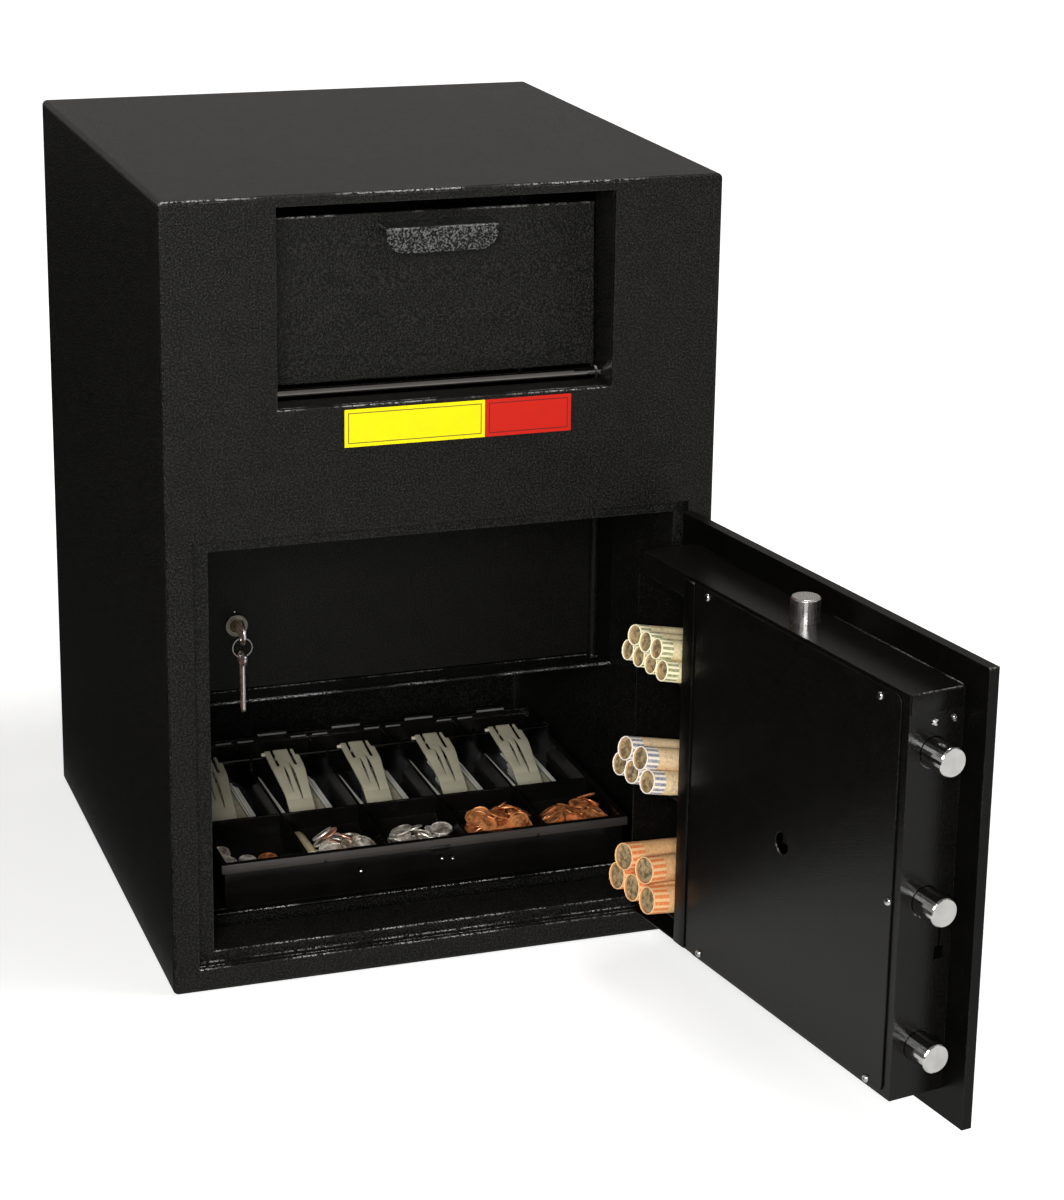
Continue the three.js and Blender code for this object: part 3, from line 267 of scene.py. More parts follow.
paintLook = {
    "colour": (0.0020, 0.0019, 0.0016), "colourDrift": (0.0023, 0.0022, 0.0018), "specular": 0.13,
    "crestHighlight": (0.017, 0.0165, 0.0148), "crestHighlightSpan": (0.67, 0.86), "roughness": 0.34, "roughnessDrift": 0.01,
    "dustRoughness": 0.3, "dimples": 600.0, "drift": 45.0, "grit": 0.35, "peelDepth": 0.0006, "wearAndGlintRadius": 0.0026,
    "wearAndGlint": 1.0, "wearAndGlintColour": (0.80, 0.78, 0.75), "dust": 0.02, "dustColour": (0.20, 0.18, 0.16),
}
tillLook = {
    "colour": (0.0026, 0.0024, 0.0021), "colourDrift": (0.0038, 0.0035, 0.0031), "specular": 0.4, "roughness": 0.13,
    "roughnessDrift": 0.06, "dustRoughness": 0.0, "dimples": 1100.0, "drift": 30.0, "grit": 0.4, "peelDepth": 0.00004,
    "wearAndGlintRadius": 0.001, "wearAndGlint": 0.5, "wearAndGlintColour": (0.22, 0.21, 0.19), "dust": 0.05, "dustColour": (0.18, 0.16, 0.14),
}
coats = {
    "cabinet_powder": paintLook,
    "black_sheet": dict(paintLook, colour=(0.0019, 0.0018, 0.0015), colourDrift=(0.0026, 0.0025, 0.0021), specular=0.17,
        roughness=0.24, crestHighlight=(0.0062, 0.0059, 0.0052), dimples=700.0, peelDepth=0.00014, wearAndGlint=0.9, wearAndGlintRadius=0.0018,
        dust=0.01),
    # the handle: a lighter copy of the cabinet powder with bright crests, painted light where it tilts up to the lamps
    "lit_handle_powder": dict(paintLook, crestHighlight=(0.12, 0.12, 0.117), crestHighlightSpan=(0.70, 0.84), colour=(0.008, 0.008, 0.0075),
        dimples=560.0, peelDepth=0.0004),
    # the locker door: a shaded copy of the cabinet powder, with weaker crest highlights and no edge highlights
    "shaded_locker_powder": dict(paintLook, crestHighlight=(0.0085, 0.0083, 0.0072), specular=0.10, wearAndGlint=0.0),
    # the locker shelf: wide white highlights painted along its front edge
    "shelf_powder_lit_edge": dict(paintLook, wearAndGlintRadius=0.0034, wearAndGlintColour=(1.0, 1.0, 1.0)),
    # the locker frame: a darker copy of the cabinet powder, painted shade
    "shaded_frame_powder": dict(paintLook, colour=(0.0008, 0.0008, 0.0007), colourDrift=(0.0012, 0.0011, 0.001),
        crestHighlight=(0.0035, 0.0034, 0.003), specular=0.04, wearAndGlint=0.3),
    # the door plate and the box's beads: a darker copy of the cabinet powder, painted shade
    "shaded_door_powder": dict(paintLook, colour=(0.0012, 0.0011, 0.0009), colourDrift=(0.0018, 0.0017, 0.0014),
        crestHighlight=(0.0034, 0.0033, 0.0029), peelDepth=0.00012, specular=0.11),
    "till_plastic": tillLook,
    "weight_plastic": dict(tillLook, colour=(0.40, 0.37, 0.265), colourDrift=(0.45, 0.42, 0.31), roughness=0.42,
        dimples=1400.0, peelDepth=0.00003, wearAndGlint=0.25, wearAndGlintColour=(0.66, 0.64, 0.56), dust=0.06,
        dustColour=(0.30, 0.28, 0.22)),
    "dial_plastic": dict(tillLook, colour=(0.006, 0.006, 0.006), colourDrift=(0.008, 0.008, 0.008), roughness=0.18,
        dust=0.04),
    # the rail clips: a lighter plastic that paints the highlights along the rail's tabs
    "rail_plastic": dict(tillLook, colour=(0.12, 0.12, 0.115), colourDrift=(0.15, 0.15, 0.145), roughness=0.3,
        dust=0.02),
    # the rim band: a lighter plastic that paints the rim's satin sheen
    "rim_plastic": dict(tillLook, colour=(0.034, 0.030, 0.026), colourDrift=(0.042, 0.037, 0.033), roughness=0.34,
        dust=0.0, dimples=700.0, peelDepth=0.0001),
}
chromeLook = {"colour": (0.56, 0.56, 0.54), "stain": (0.46, 0.455, 0.44), "roughness": 0.10, "roughnessDrift": 0.08,
    "along": (1.0, 1.0, 1.0), "fineness": 900.0, "cloud": 60.0, "depth": 0.000006}
zincLook = dict(chromeLook, colour=(0.42, 0.41, 0.38), stain=(0.30, 0.29, 0.25), roughness=0.28, roughnessDrift=0.18,
    along=(1.0, 1.0, 0.05), fineness=1600.0, depth=0.00002)
rodLook = dict(zincLook, colour=(0.045, 0.044, 0.04), stain=(0.025, 0.024, 0.022), roughness=0.16,
    along=(0.05, 1.0, 1.0))
metals = {
    "chrome": chromeLook,
    "zinc_steel": zincLook,
    "dark_rod": rodLook,
    "hopper_rod": dict(rodLook, colour=(0.38, 0.37, 0.355), stain=(0.32, 0.31, 0.295), roughness=0.07,
        roughnessDrift=0.04, depth=0.000004),
    "satin_steel": dict(zincLook, colour=(0.74, 0.72, 0.69), stain=(0.62, 0.60, 0.57), roughness=0.24,
        roughnessDrift=0.08),
    "lock_zinc": dict(zincLook, colour=(0.17, 0.162, 0.135), stain=(0.11, 0.104, 0.08), roughness=0.32),
    "ring_steel": dict(zincLook, colour=(0.28, 0.275, 0.26), stain=(0.20, 0.19, 0.18), roughness=0.22),
    "lock_brass": dict(zincLook, colour=(0.12, 0.092, 0.04), stain=(0.05, 0.036, 0.013)),
}
finishes = {name: coatFinish(name, look) for name, look in coats.items()}
finishes.update({name: metalFinish(name, look) for name, look in metals.items()})


def labelFinish(name, node, look):
    # printed plate with one thin dark frame line, placed from the plate's own edges
    material, shader = startMaterial(name, look["roughness"], 0.0, 0.2)
    low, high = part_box(node)
    place = objectPlace()
    split = addNode("ShaderNodeSeparateXYZ", {0: place})
    inset = insideEdges((split["X"], low.x, high.x), (split["Z"], low.z, high.z))
    line = within(inset, look["frameInset"] - look["frameWidth"] / 2, look["frameInset"] + look["frameWidth"] / 2)
    stain = noise(place, 120.0, 4.0, 0.6)
    colour = mixColour(remap(stain, 0.3, 0.75, 0.0, 0.35), look["colour"], look["shade"])
    colour = mixColour(times(line, 0.85), colour, look["ink"])
    rough = remap(stain, 0.3, 0.7, look["roughness"], look["roughness"] + 0.12)
    dress(shader, colour, rough, noise(place, 1500.0, 1.0), 0.00001)
    return material


yellowPlate = {"colour": (0.86, 0.72, 0.0), "shade": (0.77, 0.63, 0.006), "ink": (0.03, 0.03, 0.02),
    "roughness": 0.35, "frameInset": 3.6 * mm, "frameWidth": 0.9 * mm}
redPlate = dict(yellowPlate, colour=(0.53, 0.013, 0.005), shade=(0.44, 0.011, 0.004), ink=(0.05, 0.01, 0.01))
finishes["yellow_label"] = labelFinish("yellowPlate", "label_yellow", yellowPlate)
finishes["red_label"] = labelFinish("redPlate", "label_red", redPlate)
print("finishes ready")

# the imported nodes: those with a finish of their own, and the radius of their edges in millimetres
ownFinish = {
    "locker_frame": "shaded_frame_powder", "locker_door": "shaded_locker_powder", "locker_shelf": "shelf_powder_lit_edge",
    "hopper_rod": "hopper_rod", "weight_rod": "dark_rod", "top_bolt": "satin_steel", "cam_lock_body": "lock_zinc",
    "key_ring": "ring_steel", "hopper_handle": "lit_handle_powder", "door_plate": "shaded_door_powder",
}
rounding = {
    "body_shell": 2.2, "door_frame": 1.6, "hopper_frame": 1.8, "hopper_panel": 2.0, "hopper_handle": 1.2,
    "door_plate": 1.2, "boltwork_box": 1.4, "boltwork_cover": 0.5, "coin_rack": 0.5, "locker_door": 0.9,
    "locker_shelf": 1.3, "locker_frame": 0.8, "till_shelf": 1.0, "till_tray": 0.8, "door_handle": 1.2, "dial": 0.6,
    "dial_ring": 0.6, "handle_plate": 0.8, "cam_lock_body": 0.5, "others": 0.4,
}


def roundEdges(obj, width):
    obj.modifiers.new("weld", "WELD").merge_threshold = 0.02 * mm
    flat = obj.modifiers.new("flatFaces", "DECIMATE")
    flat.decimate_type = "DISSOLVE"
    flat.angle_limit = math.radians(1.0)
    bevel = obj.modifiers.new("roundedEdges", "BEVEL")
    bevel.width = width
    bevel.segments = 2
    bevel.limit_method = "ANGLE"
    bevel.angle_limit = math.radians(32)
    bevel.harden_normals = True
    bevel.use_clamp_overlap = True


# the nodes without a finish are replaced further down
slotOf = {row["node"]: row["material_slot"] for row in frame["record"]["subparts"]}
for name, obj in nodes.items():
    obj.data.materials.clear()
    key = ownFinish.get(name, slotOf[name])
    if key in finishes:
        obj.data.materials.append(finishes[key])
    roundEdges(obj, rounding.get(name, rounding["others"]) * mm)
print("packed nodes dressed")


# mesh helpers
def placed(x, y, z, degrees=0.0, axis="X"):
    # a place in millimetres, turned about one axis
    return Matrix.Translation((x * mm, y * mm, z * mm)) @ Matrix.Rotation(math.radians(degrees), 4, axis)


def inMillimetres(points):
    return [tuple(value * mm for value in point) for point in points]


def keepMesh(name, bm, material, body, matrix=None, smooth=35):
    mesh = bpy.data.meshes.new(name)
    bmesh.ops.recalc_face_normals(bm, faces=bm.faces[:])
    bm.to_mesh(mesh)
    bm.free()
    obj = bpy.data.objects.new(name, mesh)
    bpy.context.scene.collection.objects.link(obj)
    for item in material if isinstance(material, (list, tuple)) else [material]:
        mesh.materials.append(item)
    if matrix is not None:
        mesh.transform(matrix)
    for polygon in mesh.polygons:
        polygon.use_smooth = True
    mesh.set_sharp_from_angle(angle=math.radians(smooth))
    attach(obj, body)
    return obj


def lathe(bm, profile, steps, matrix, material=0):
    # turns (radius, height) points round the z axis; radius 0 closes the end
    rings = []
    for radius, height in profile:
        if radius < 1e-7:
            rings.append([bm.verts.new((0, 0, height))])
        else:
            rings.append([bm.verts.new((radius * math.cos(a), radius * math.sin(a), height))
                for a in (2 * math.pi * i / steps for i in range(steps))])
    made = [v for ring in rings for v in ring]
    for low, high in zip(rings, rings[1:]):
        for i in range(steps):
            j = (i + 1) % steps
            corners = [low[i % len(low)], low[j % len(low)], high[j % len(high)], high[i % len(high)]]
            unique = list(dict.fromkeys(corners))
            if len(unique) > 2:
                bm.faces.new(unique).material_index = material
    bmesh.ops.transform(bm, matrix=matrix, verts=made)
    return made


def slab(bm, size, matrix, bevel=0.0):
    made = bmesh.ops.create_cube(bm, size=1.0)["verts"]
    bmesh.ops.scale(bm, vec=size, verts=made)
    if bevel:
        edges = list({e for v in made for e in v.link_edges})
        result = bmesh.ops.bevel(bm, geom=edges, offset=bevel, segments=2, affect="EDGES", profile=0.5)
        made = list({v for f in result["faces"] for v in f.verts} | {v for v in made if v.is_valid})
    bmesh.ops.transform(bm, matrix=matrix, verts=made)


doorJoint = joints["main_door_swing"]
doorSizes = {"width": 456.0, "toHingeX": 464.9, "toHingeY": 23.9, "coverFace": 54.4, "freeWall": 28.7}
hinge = Vector(doorJoint["pos_m"])
openAngle = math.radians(-doorJoint["range_deg"][0])
doorMatrix = (Matrix.Translation((hinge.x, hinge.y, 0)) @ Matrix.Rotation(openAngle, 4, "Z")
    @ placed(-doorSizes["toHingeX"], doorSizes["toHingeY"], 0))


def doorPlace(x, y, z, facing="back"):
    # a place on the door: x from its free edge, y from its inner face, z up, with local z along the facing
    degrees, axis = {"back": (-90, "X"), "free": (-90, "Y"), "up": (0, "X")}[facing]
    return doorMatrix @ placed(x, y, z, degrees, axis)


# screws
screwLook = {"headRadius": 3.7, "headHeight": 2.2, "recess": 1.5, "armReach": 0.62, "hubReach": 0.22, "armWidth": 0.35,
    "steps": 24}


def addScrew(bm, matrix, turn):
    # pan head with a cross recess: four arms cut down into the dome
    radius, top, steps = screwLook["headRadius"], screwLook["headHeight"], screwLook["steps"]
    bottom = top - screwLook["recess"]
    middle = bm.verts.new((0, 0, bottom * mm))
    columns = []
    for i in range(steps):
        angle = 2 * math.pi * i / steps
        inArm = abs(math.sin(2 * angle)) < screwLook["armWidth"]
        reach = screwLook["armReach" if inArm else "hubReach"] * radius
        column = [(reach * 0.9, bottom), (reach, top * 0.98), (max(reach + 0.1, radius * 0.72), top * 0.86),
            (radius * 0.94, top * 0.5), (radius, 0.12), (radius, -0.6)]
        columns.append([bm.verts.new((r * math.cos(angle), r * math.sin(angle), h)) for r, h in inMillimetres(column)])
    for i in range(steps):
        a, b = columns[i], columns[(i + 1) % steps]
        bm.faces.new((middle, a[0], b[0]))
        for k in range(len(a) - 1):
            bm.faces.new((a[k], a[k + 1], b[k + 1], b[k]))
    bm.faces.new([column[-1] for column in reversed(columns)])
    made = [middle] + [v for column in columns for v in column]
    bmesh.ops.transform(bm, matrix=matrix @ Matrix.Rotation(turn, 4, "Z"), verts=made)


# cover screws: from the door's hinge edge, and up; wall screws: from the door's inner face, and up
coverScrews = [(131.7, 389.1), (389.8, 386.6), (414.2, 220.5), (396.4, 56.7), (136.5, 57.1)]
wallScrews = [(28.2, 373.1), (9.1, 373.7)]
turns = random.Random(4)
screws = bmesh.new()
for across, up in coverScrews:
    addScrew(screws, doorPlace(doorSizes["width"] - across, doorSizes["coverFace"], up), turns.uniform(0, 1.5))
for depth, up in wallScrews:
    addScrew(screws, doorPlace(doorSizes["freeWall"], depth, up, "free"), turns.uniform(0, 1.5))
keepMesh("cover_screws", screws, finishes["chrome"], "main_door")
print("screws placed")

# coin rolls
# each roll: mouth centre from the door's free edge, out from the door's inner face, up, and turn to the free edge
rollStacks = [
    {"node": "coin_rolls_dime", "radius": 9.8, "length": 66.0, "slope": 14.0, "paper": (0.95, 0.80, 0.47),
        "print": (0.20, 0.24, 0.08), "between": (1.0, 0.95, 0.70), "dashes": 12, "band": 13.0,
        "ends": [(432.0, 69.2, 309.3, 0), (411.6, 70.0, 309.5, 0), (391.4, 69.6, 309.4, 1), (371.2, 70.3, 309.6, 0),
            (421.6, 68.6, 326.4, 6), (401.2, 69.6, 326.5, 2), (381.6, 70.2, 326.6, 0)]},
    {"node": "coin_rolls_nickel", "radius": 11.3, "length": 77.0, "slope": 14.5, "paper": (0.98, 0.72, 0.42),
        "print": (0.16, 0.18, 0.26), "between": (1.0, 0.96, 0.90), "dashes": 13, "band": 14.0,
        "ends": [(426.8, 77.6, 203.8, 3), (404.2, 78.4, 204.0, 4), (378.0, 78.0, 203.9, 4),
            (416.0, 78.8, 222.4, 4), (391.2, 77.8, 221.4, 4)]},
    {"node": "coin_rolls_quarter", "radius": 12.9, "length": 70.0, "slope": 9.0, "paper": (0.96, 0.55, 0.25),
        "print": (0.80, 0.17, 0.03), "between": (0.98, 0.60, 0.30), "dashes": 13, "band": 17.0,
        "ends": [(429.2, 76.5, 92.8, 2), (402.6, 76.4, 91.6, 2), (376.8, 75.6, 89.2, 2),
            (417.6, 76.6, 116.0, 8), (389.6, 71.4, 112.4, 9)]},
]
# inside and deep: painted shade that darkens the paper down the inner wall of the mouth
rollLook = {"grain": 0.68, "inside": (0.62, 0.55, 0.46), "deep": (0.22, 0.18, 0.13), "squeeze": 0.97, "wall": 1.2,
    "recess": 3.8, "steps": 40, "scallops": 16, "scallopDepth": 0.35}


def rollPaper(name, stack):
    # kraft paper: u runs once round the roll, v is the distance from the open end in metres, negative inside
    material, shader = startMaterial(name, 0.72, 0.0, 0.12)
    around, down = uvPlace("wrap")[1:]
    place = objectPlace()
    band, base = stack["band"], stack["paper"]
    wobble = times(calc("SUBTRACT", noise(place, 90.0), 0.5), 0.10)
    phase = calc("FRACT", calc("ADD", times(around, float(stack["dashes"])), wobble))
    inBand = within(down, 1.4 * mm, band * mm)
    dashes = times(calc("GREATER_THAN", phase, 0.46), inBand)
    blots = remap(noise(place, 260.0), 0.54, 0.62)
    blots = times(blots, within(down, (band + 7) * mm, (band + 15) * mm), 0.4)
    fade = remap(noise(place, 500.0, 3.0), 0.3, 0.65, 0.55, 0.95)
    fibre = noise(place, 420.0, 5.0, 0.7)
    paper = mixColour(remap(fibre, 0.35, 0.7), base, [value * rollLook["grain"] for value in base])
    paper = mixColour(times(inBand, 0.7), paper, stack["between"])
    # painted shade down the inner wall of the mouth, darker further in
    for innerShade, start, end in (("inside", -0.2, -0.8), ("deep", -1.6, -3.6)):
        shade = [a * b for a, b in zip(base, rollLook[innerShade])]
        paper = mixColour(remap(down, start * mm, end * mm), paper, shade)
    paper = mixColour(within(down, -0.7 * mm, 0.7 * mm), paper, stack["between"])
    paper = mixColour(times(calc("MAXIMUM", dashes, blots), fade), paper, stack["print"])
    dress(shader, paper, remap(fibre, 0.3, 0.7, 0.62, 0.82), fibre, 0.00006)
    return material


def coinMetal(name, colour, stain, rough, metallic, patches=110.0, depth=0.0005):
    # struck metal: worn relief that breaks up the light, and darker patches from noise
    material, shader = startMaterial(name, rough, metallic)
    place = objectPlace()
    relief = noise(place, 520.0, 4.0, 0.6)
    darkPatches = remap(noise(place, patches, 4.0, 0.65), 0.42, 0.6)
    dress(shader, mixColour(darkPatches, colour, stain), remap(relief, 0.3, 0.7, rough, rough + 0.25), relief, depth)
    return material


# colour, colour of the darker patches, roughness, metallic, size of the patches, depth of the relief
coinLooks = {
    "silver_coin": ((1.0, 0.93, 0.81), (0.24, 0.19, 0.14), 0.26, 0.5),
    "copper_coin": ((1.0, 0.40, 0.14), (0.30, 0.085, 0.028), 0.26, 0.5),
    "rosy_coin": ((1.0, 0.55, 0.40), (0.42, 0.18, 0.11), 0.26, 0.5),
    "roll_coin": ((0.46, 0.34, 0.18), (0.13, 0.092, 0.045), 0.5, 0.1, 190.0, 0.0004),
    "key_metal": ((0.78, 0.52, 0.44), (0.22, 0.10, 0.07), 0.3, 0.4, 420.0, 0.0002),
}
for key, look in coinLooks.items():
    finishes[key] = coinMetal(key, *look)


def addRoll(bm, stack, matrix, uvs, turn):
    # open end at local z 0, the roll runs down -z; the paper curls over into a lip round the first coin
    r, wall = stack["radius"] * rollLook["squeeze"], rollLook["wall"]
    deep, length, steps = rollLook["recess"], stack["length"], rollLook["steps"]
    about = Matrix.Rotation(turn, 4, "Z")
    rim = [(r - wall, -deep), (r - wall, -0.9), (r - wall * 0.8, -0.25), (r - wall * 0.45, 0.0), (r - 0.12, -0.3),
        (r, -1.0), (r, -length * 0.34), (r, -length * 0.67), (r, -length + 1.0), (r - 0.3, -length + 0.3),
        (r - wall, -length), (r - wall, -length + 1.2)]
    coin = [(0.0, -deep + 0.35), (r * 0.35, -deep + 0.5), (r * 0.66, -deep + 0.3), (r * 0.78, -deep + 0.25),
        (r - wall * 1.35, -deep + 0.9), (r - wall * 1.02, -deep + 0.8), (r - wall * 1.01, -deep - 1.0)]
    back = [(r - wall * 1.01, -length + 1.5), (r * 0.7, -length + 1.3), (0.0, -length + 1.4)]
    start = len(bm.faces)
    made = lathe(bm, inMillimetres(rim), steps, about)
    for vert in made:
        if vert.co.z > -0.6 * mm:
            wave = 0.5 + 0.5 * math.cos(rollLook["scallops"] * math.atan2(vert.co.y, vert.co.x))
            vert.co.z -= rollLook["scallopDepth"] * mm * wave
    made += lathe(bm, inMillimetres(coin), steps, about, 1)
    made += lathe(bm, inMillimetres(back), steps, about, 1)
    bm.faces.ensure_lookup_table()
    for face in bm.faces[start:]:
        for loop in face.loops:
            co = loop.vert.co
            angle = (math.atan2(co.y, co.x) / (2 * math.pi)) % 1.0
            inner = math.hypot(co.x, co.y) < (r - 0.5 * wall) * mm
            loop[uvs].uv = (angle, co.z if inner else -co.z)
        values = [loop[uvs].uv.x for loop in face.loops]
        if max(values) - min(values) > 0.5:
            for loop in face.loops:
                if loop[uvs].uv.x < 0.5:
                    loop[uvs].uv.x += 1.0
    bmesh.ops.transform(bm, matrix=matrix, verts=made)


rollTurns = random.Random(11)
for stack in rollStacks:
    bm = bmesh.new()
    uvs = bm.loops.layers.uv.new("wrap")
    for x, away, z, turn in stack["ends"]:
        place = doorMatrix @ placed(x, away, z, turn, "Z") @ placed(0, 0, 0, stack["slope"] - 90)
        addRoll(bm, stack, place, uvs, rollTurns.uniform(0, 6.28))
    paper = rollPaper(stack["node"] + "_paper", stack)
    piece = keepMesh("paper_" + stack["node"], bm, [paper, finishes["roll_coin"]], "main_door")
    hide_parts(stack["node"])
print("coin rolls made")


# flat plates cut from an outline
def plateMesh(name, loops, thickness, edge):
    # a plate with holes from closed loops of (x, y) in millimetres, both faces with a small round edge
    curve = bpy.data.curves.new(name, "CURVE")
    curve.dimensions = "2D"
    curve.fill_mode = "BOTH"
    curve.extrude = (thickness / 2 - edge) * mm
    curve.bevel_depth = edge * mm
    curve.bevel_resolution = 1
    curve.offset = -edge * mm
    for loop in loops:
        spline = curve.splines.new("POLY")
        spline.points.add(len(loop) - 1)
        for point, (x, y) in zip(spline.points, loop):
            point.co = (x * mm, y * mm, 0, 1)
        spline.use_cyclic_u = True
    obj = bpy.data.objects.new(name, curve)
    bpy.context.scene.collection.objects.link(obj)
    bpy.context.view_layer.update()
    mesh = bpy.data.meshes.new_from_object(obj.evaluated_get(bpy.context.evaluated_depsgraph_get()))
    bpy.data.objects.remove(obj)
    bpy.data.curves.remove(curve)
    bm = bmesh.new()
    bm.from_mesh(mesh)
    bpy.data.meshes.remove(mesh)
    bmesh.ops.remove_doubles(bm, verts=bm.verts[:], dist=0.02 * mm)
    return bm


def arcPoints(cx, cy, radius, start, stop, count):
    return [(cx + radius * math.cos(math.radians(a)), cy + radius * math.sin(math.radians(a)))
        for a in (start + (stop - start) * i / count for i in range(count + 1))]


# bill weights
weight = {"topHalf": 16.5, "footHalf": 13.0, "tail": 3.0, "waist": -33.0, "ankle": -68.0, "toe": -98.0, "thick": 2.4,
    "slopes": (9.3, 19.6, 31.0), "fingerHalf": 7.25, "slot": 3.2, "slotLength": 30.0, "step": (3.2, 12.0), "eye": 5.0,
    "barrel": 4.4, "barrelHalf": 6.6, "bore": 2.8, "bend": 4.0, "pad": (21.0, 1.2, -85.5), "nub": (-16.1, -0.5, 3.4)}
# pad: length, height and place along the arm; each groove: middle, half width, top, bottom
grooves = [(3.4, 1.5, -20.0, -82.0), (-3.6, 1.2, -26.0, -66.0)]


def weightHeight(y):
    # height of the arm's top over the rod, from its three slopes
    w = weight
    tops, waists, feet = (math.tan(math.radians(angle)) for angle in w["slopes"])
    if y > w["waist"]:
        return w["eye"] + y * tops
    atWaist = w["eye"] + w["waist"] * tops
    if y > w["ankle"]:
        return atWaist + (y - w["waist"]) * waists
    return atWaist + (w["ankle"] - w["waist"]) * waists + (y - w["ankle"]) * feet


def weightLoops():
    w = weight
    slotEnd = w["fingerHalf"] + w["slot"]
    floor = w["tail"] - w["slotLength"]
    stepX, stepY = w["topHalf"] - w["step"][0], w["tail"] - w["step"][1]
    slotArc = arcPoints(w["fingerHalf"] + w["slot"] / 2, floor + w["slot"] / 2, w["slot"] / 2, 0, -180, 6)
    left = [(-w["fingerHalf"], w["tail"] + 0.8)] + [(-x, y) for x, y in reversed(slotArc)]
    left += [(-slotEnd, w["tail"]), (-w["topHalf"] + 1, w["tail"]), (-w["topHalf"], w["tail"] - 1.5)]
    left += [(-w["topHalf"], w["waist"] + 5), (-w["topHalf"] + 0.5, w["waist"] - 3),
        (-w["footHalf"] - 0.4, w["ankle"] + 5), (-w["footHalf"], w["ankle"] - 2), (-w["footHalf"], w["toe"] + 1.2),
        (-w["footHalf"] + 1.2, w["toe"])]
    right = [(-x, y) for x, y in left[left.index((-w["topHalf"], w["waist"] + 5)):]]
    right.reverse()
    right += [(w["topHalf"], stepY - 1), (w["topHalf"] - 1, stepY), (stepX, stepY + 1), (stepX - 0.4, w["tail"]),
        (slotEnd, w["tail"])] + slotArc + [(w["fingerHalf"], w["tail"] + 0.8)]
    slits = []
    for x, half, top, bottom in grooves:
        run = top - bottom
        shape = [(0.0, 0.15), (0.12, 0.55), (0.3, 0.95), (0.45, 1.0), (0.62, 0.75), (0.82, 0.35), (1.0, 0.12)]
        slits.append([(x + half * wide, top - run * t) for t, wide in shape]
            + [(x - half * wide, top - run * t) for t, wide in reversed(shape)])
    return [left + right] + slits


padLength, padHeight, padAt = weight["pad"]
nubProfile = [(0.0, -4.2), (1.5, -4.0), (1.8, -3.4), (1.8, 0.0), (0.0, 0.0)]
eye, bore, half = weight["barrel"], weight["bore"], weight["barrelHalf"]
barrelProfile = [(bore, -half), (eye, -half), (eye, half), (bore, half), (bore, -half)]
for number in range(1, 6):
    joint = joints[f"weight_{number}_lift"]
    bm = plateMesh("weightPlate", weightLoops(), weight["thick"], 0.5)
    # cut across every 4 mm, so that the arm can bend
    for y in range(-96, 5, 4):
        bmesh.ops.bisect_plane(bm, geom=bm.verts[:] + bm.edges[:] + bm.faces[:], plane_co=(0, y * mm, 0),
            plane_no=(0, 1, 0))
    slab(bm, (weight["footHalf"] * 1.8 * mm, padLength * mm, padHeight * mm), placed(0, padAt, padHeight), 0.5 * mm)
    spread = weight["bend"] / 2
    for vert in bm.verts:
        y = vert.co.y / mm
        vert.co.z += (sum(weightHeight(y + shift) for shift in (-spread, 0, spread)) / 3 - weight["thick"] / 2) * mm
    lathe(bm, inMillimetres(barrelProfile), 24, placed(0, 0, 0, 90, "Y"))
    lathe(bm, inMillimetres(nubProfile), 14, placed(*weight["nub"], 90, "Y"))
    piece = keepMesh(f"note_weight_{number}", bm, finishes["weight_plastic"], f"weight_{number}",
        Matrix.Translation(joint["pos_m"]))
    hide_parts(f"bill_weight_{number}")
print("bill weights made")

# what lies in the till
tray = {"left": -182.0, "pitch": 78.6, "width": 75.6, "cupFront": -173.6, "cupDepth": 96.0, "bayFront": -74.6,
    "bayBack": 111.4, "floor": 36.0, "cupWall": 1.2, "scoopFlat": 16.0, "scoopCurve": 1.7, "linerGap": 0.3,
    "linerFoot": 0.2, "linerSteps": 24}
coinKinds = {
    "penny": {"radius": 9.5, "thick": 1.5, "finish": "copper_coin"},
    "nickel": {"radius": 10.6, "thick": 1.9, "finish": "silver_coin"},
    "dime": {"radius": 8.95, "thick": 1.35, "finish": "silver_coin"},
}
heap = {"base": 13.0, "scoop": 14.0, "spread": (0.30, 13.0)}
# dropping a coin: cell of the height map, places tried, room to the cup's wall, spread and mean of its lean, the
# steepest slope, and how much of what lies below it may stand above it
piling = {"cell": 1.5, "tries": 5, "wallGap": 1.5, "lean": 0.26, "leanBack": 0.05, "steepest": 0.6, "bedding": 0.93,
    "gap": 0.05}
cups = [
    {"placed": [("dime", -169.5, -99.0, 56.0, 30, -6), ("dime", -169.0, -126.0, 58.6, 18, 6),
        ("dime", -150.0, -127.0, 58.4, 14, 4), ("penny", -131.0, -128.0, 58.6, 8, -4)], "base": 13.0, "scoop": 8.0},
    dict(heap, coins={"dime": 24, "nickel": 19}, rosy=0.14, left=11.0, seed=8),
    dict(heap, coins={"nickel": 27, "dime": 6}, left=4.0, spread=(0.29, 12.0), seed=21),
    dict(heap, coins={"penny": 66}, left=3.0, base=12.0, seed=34),
    dict(heap, coins={"penny": 58}, left=5.0, base=12.0, seed=55),
]


def scoopHeight(y, cup):
    # the cup's floor curves up at the front and the back
    half = tray["cupDepth"] / 2
    rise = max(0.0, (abs(y - tray["cupFront"] - half) - tray["scoopFlat"]) / (half - tray["scoopFlat"]))
    return tray["floor"] + cup["base"] + cup["scoop"] * rise ** tray["scoopCurve"]


def addCoin(bm, kind, place, material=0):
    r, t = coinKinds[kind]["radius"] * mm, coinKinds[kind]["thick"] * mm
    half = [(0.0, 0.32), (0.42, 0.44), (0.66, 0.36), (0.86, 0.30), (0.90, 0.48), (0.97, 0.5), (1.0, 0.36)]
    profile = [(r * a, t * b) for a, b in half] + [(r * a, -t * b) for a, b in reversed(half)]
    lathe(bm, profile, 26, place, material)


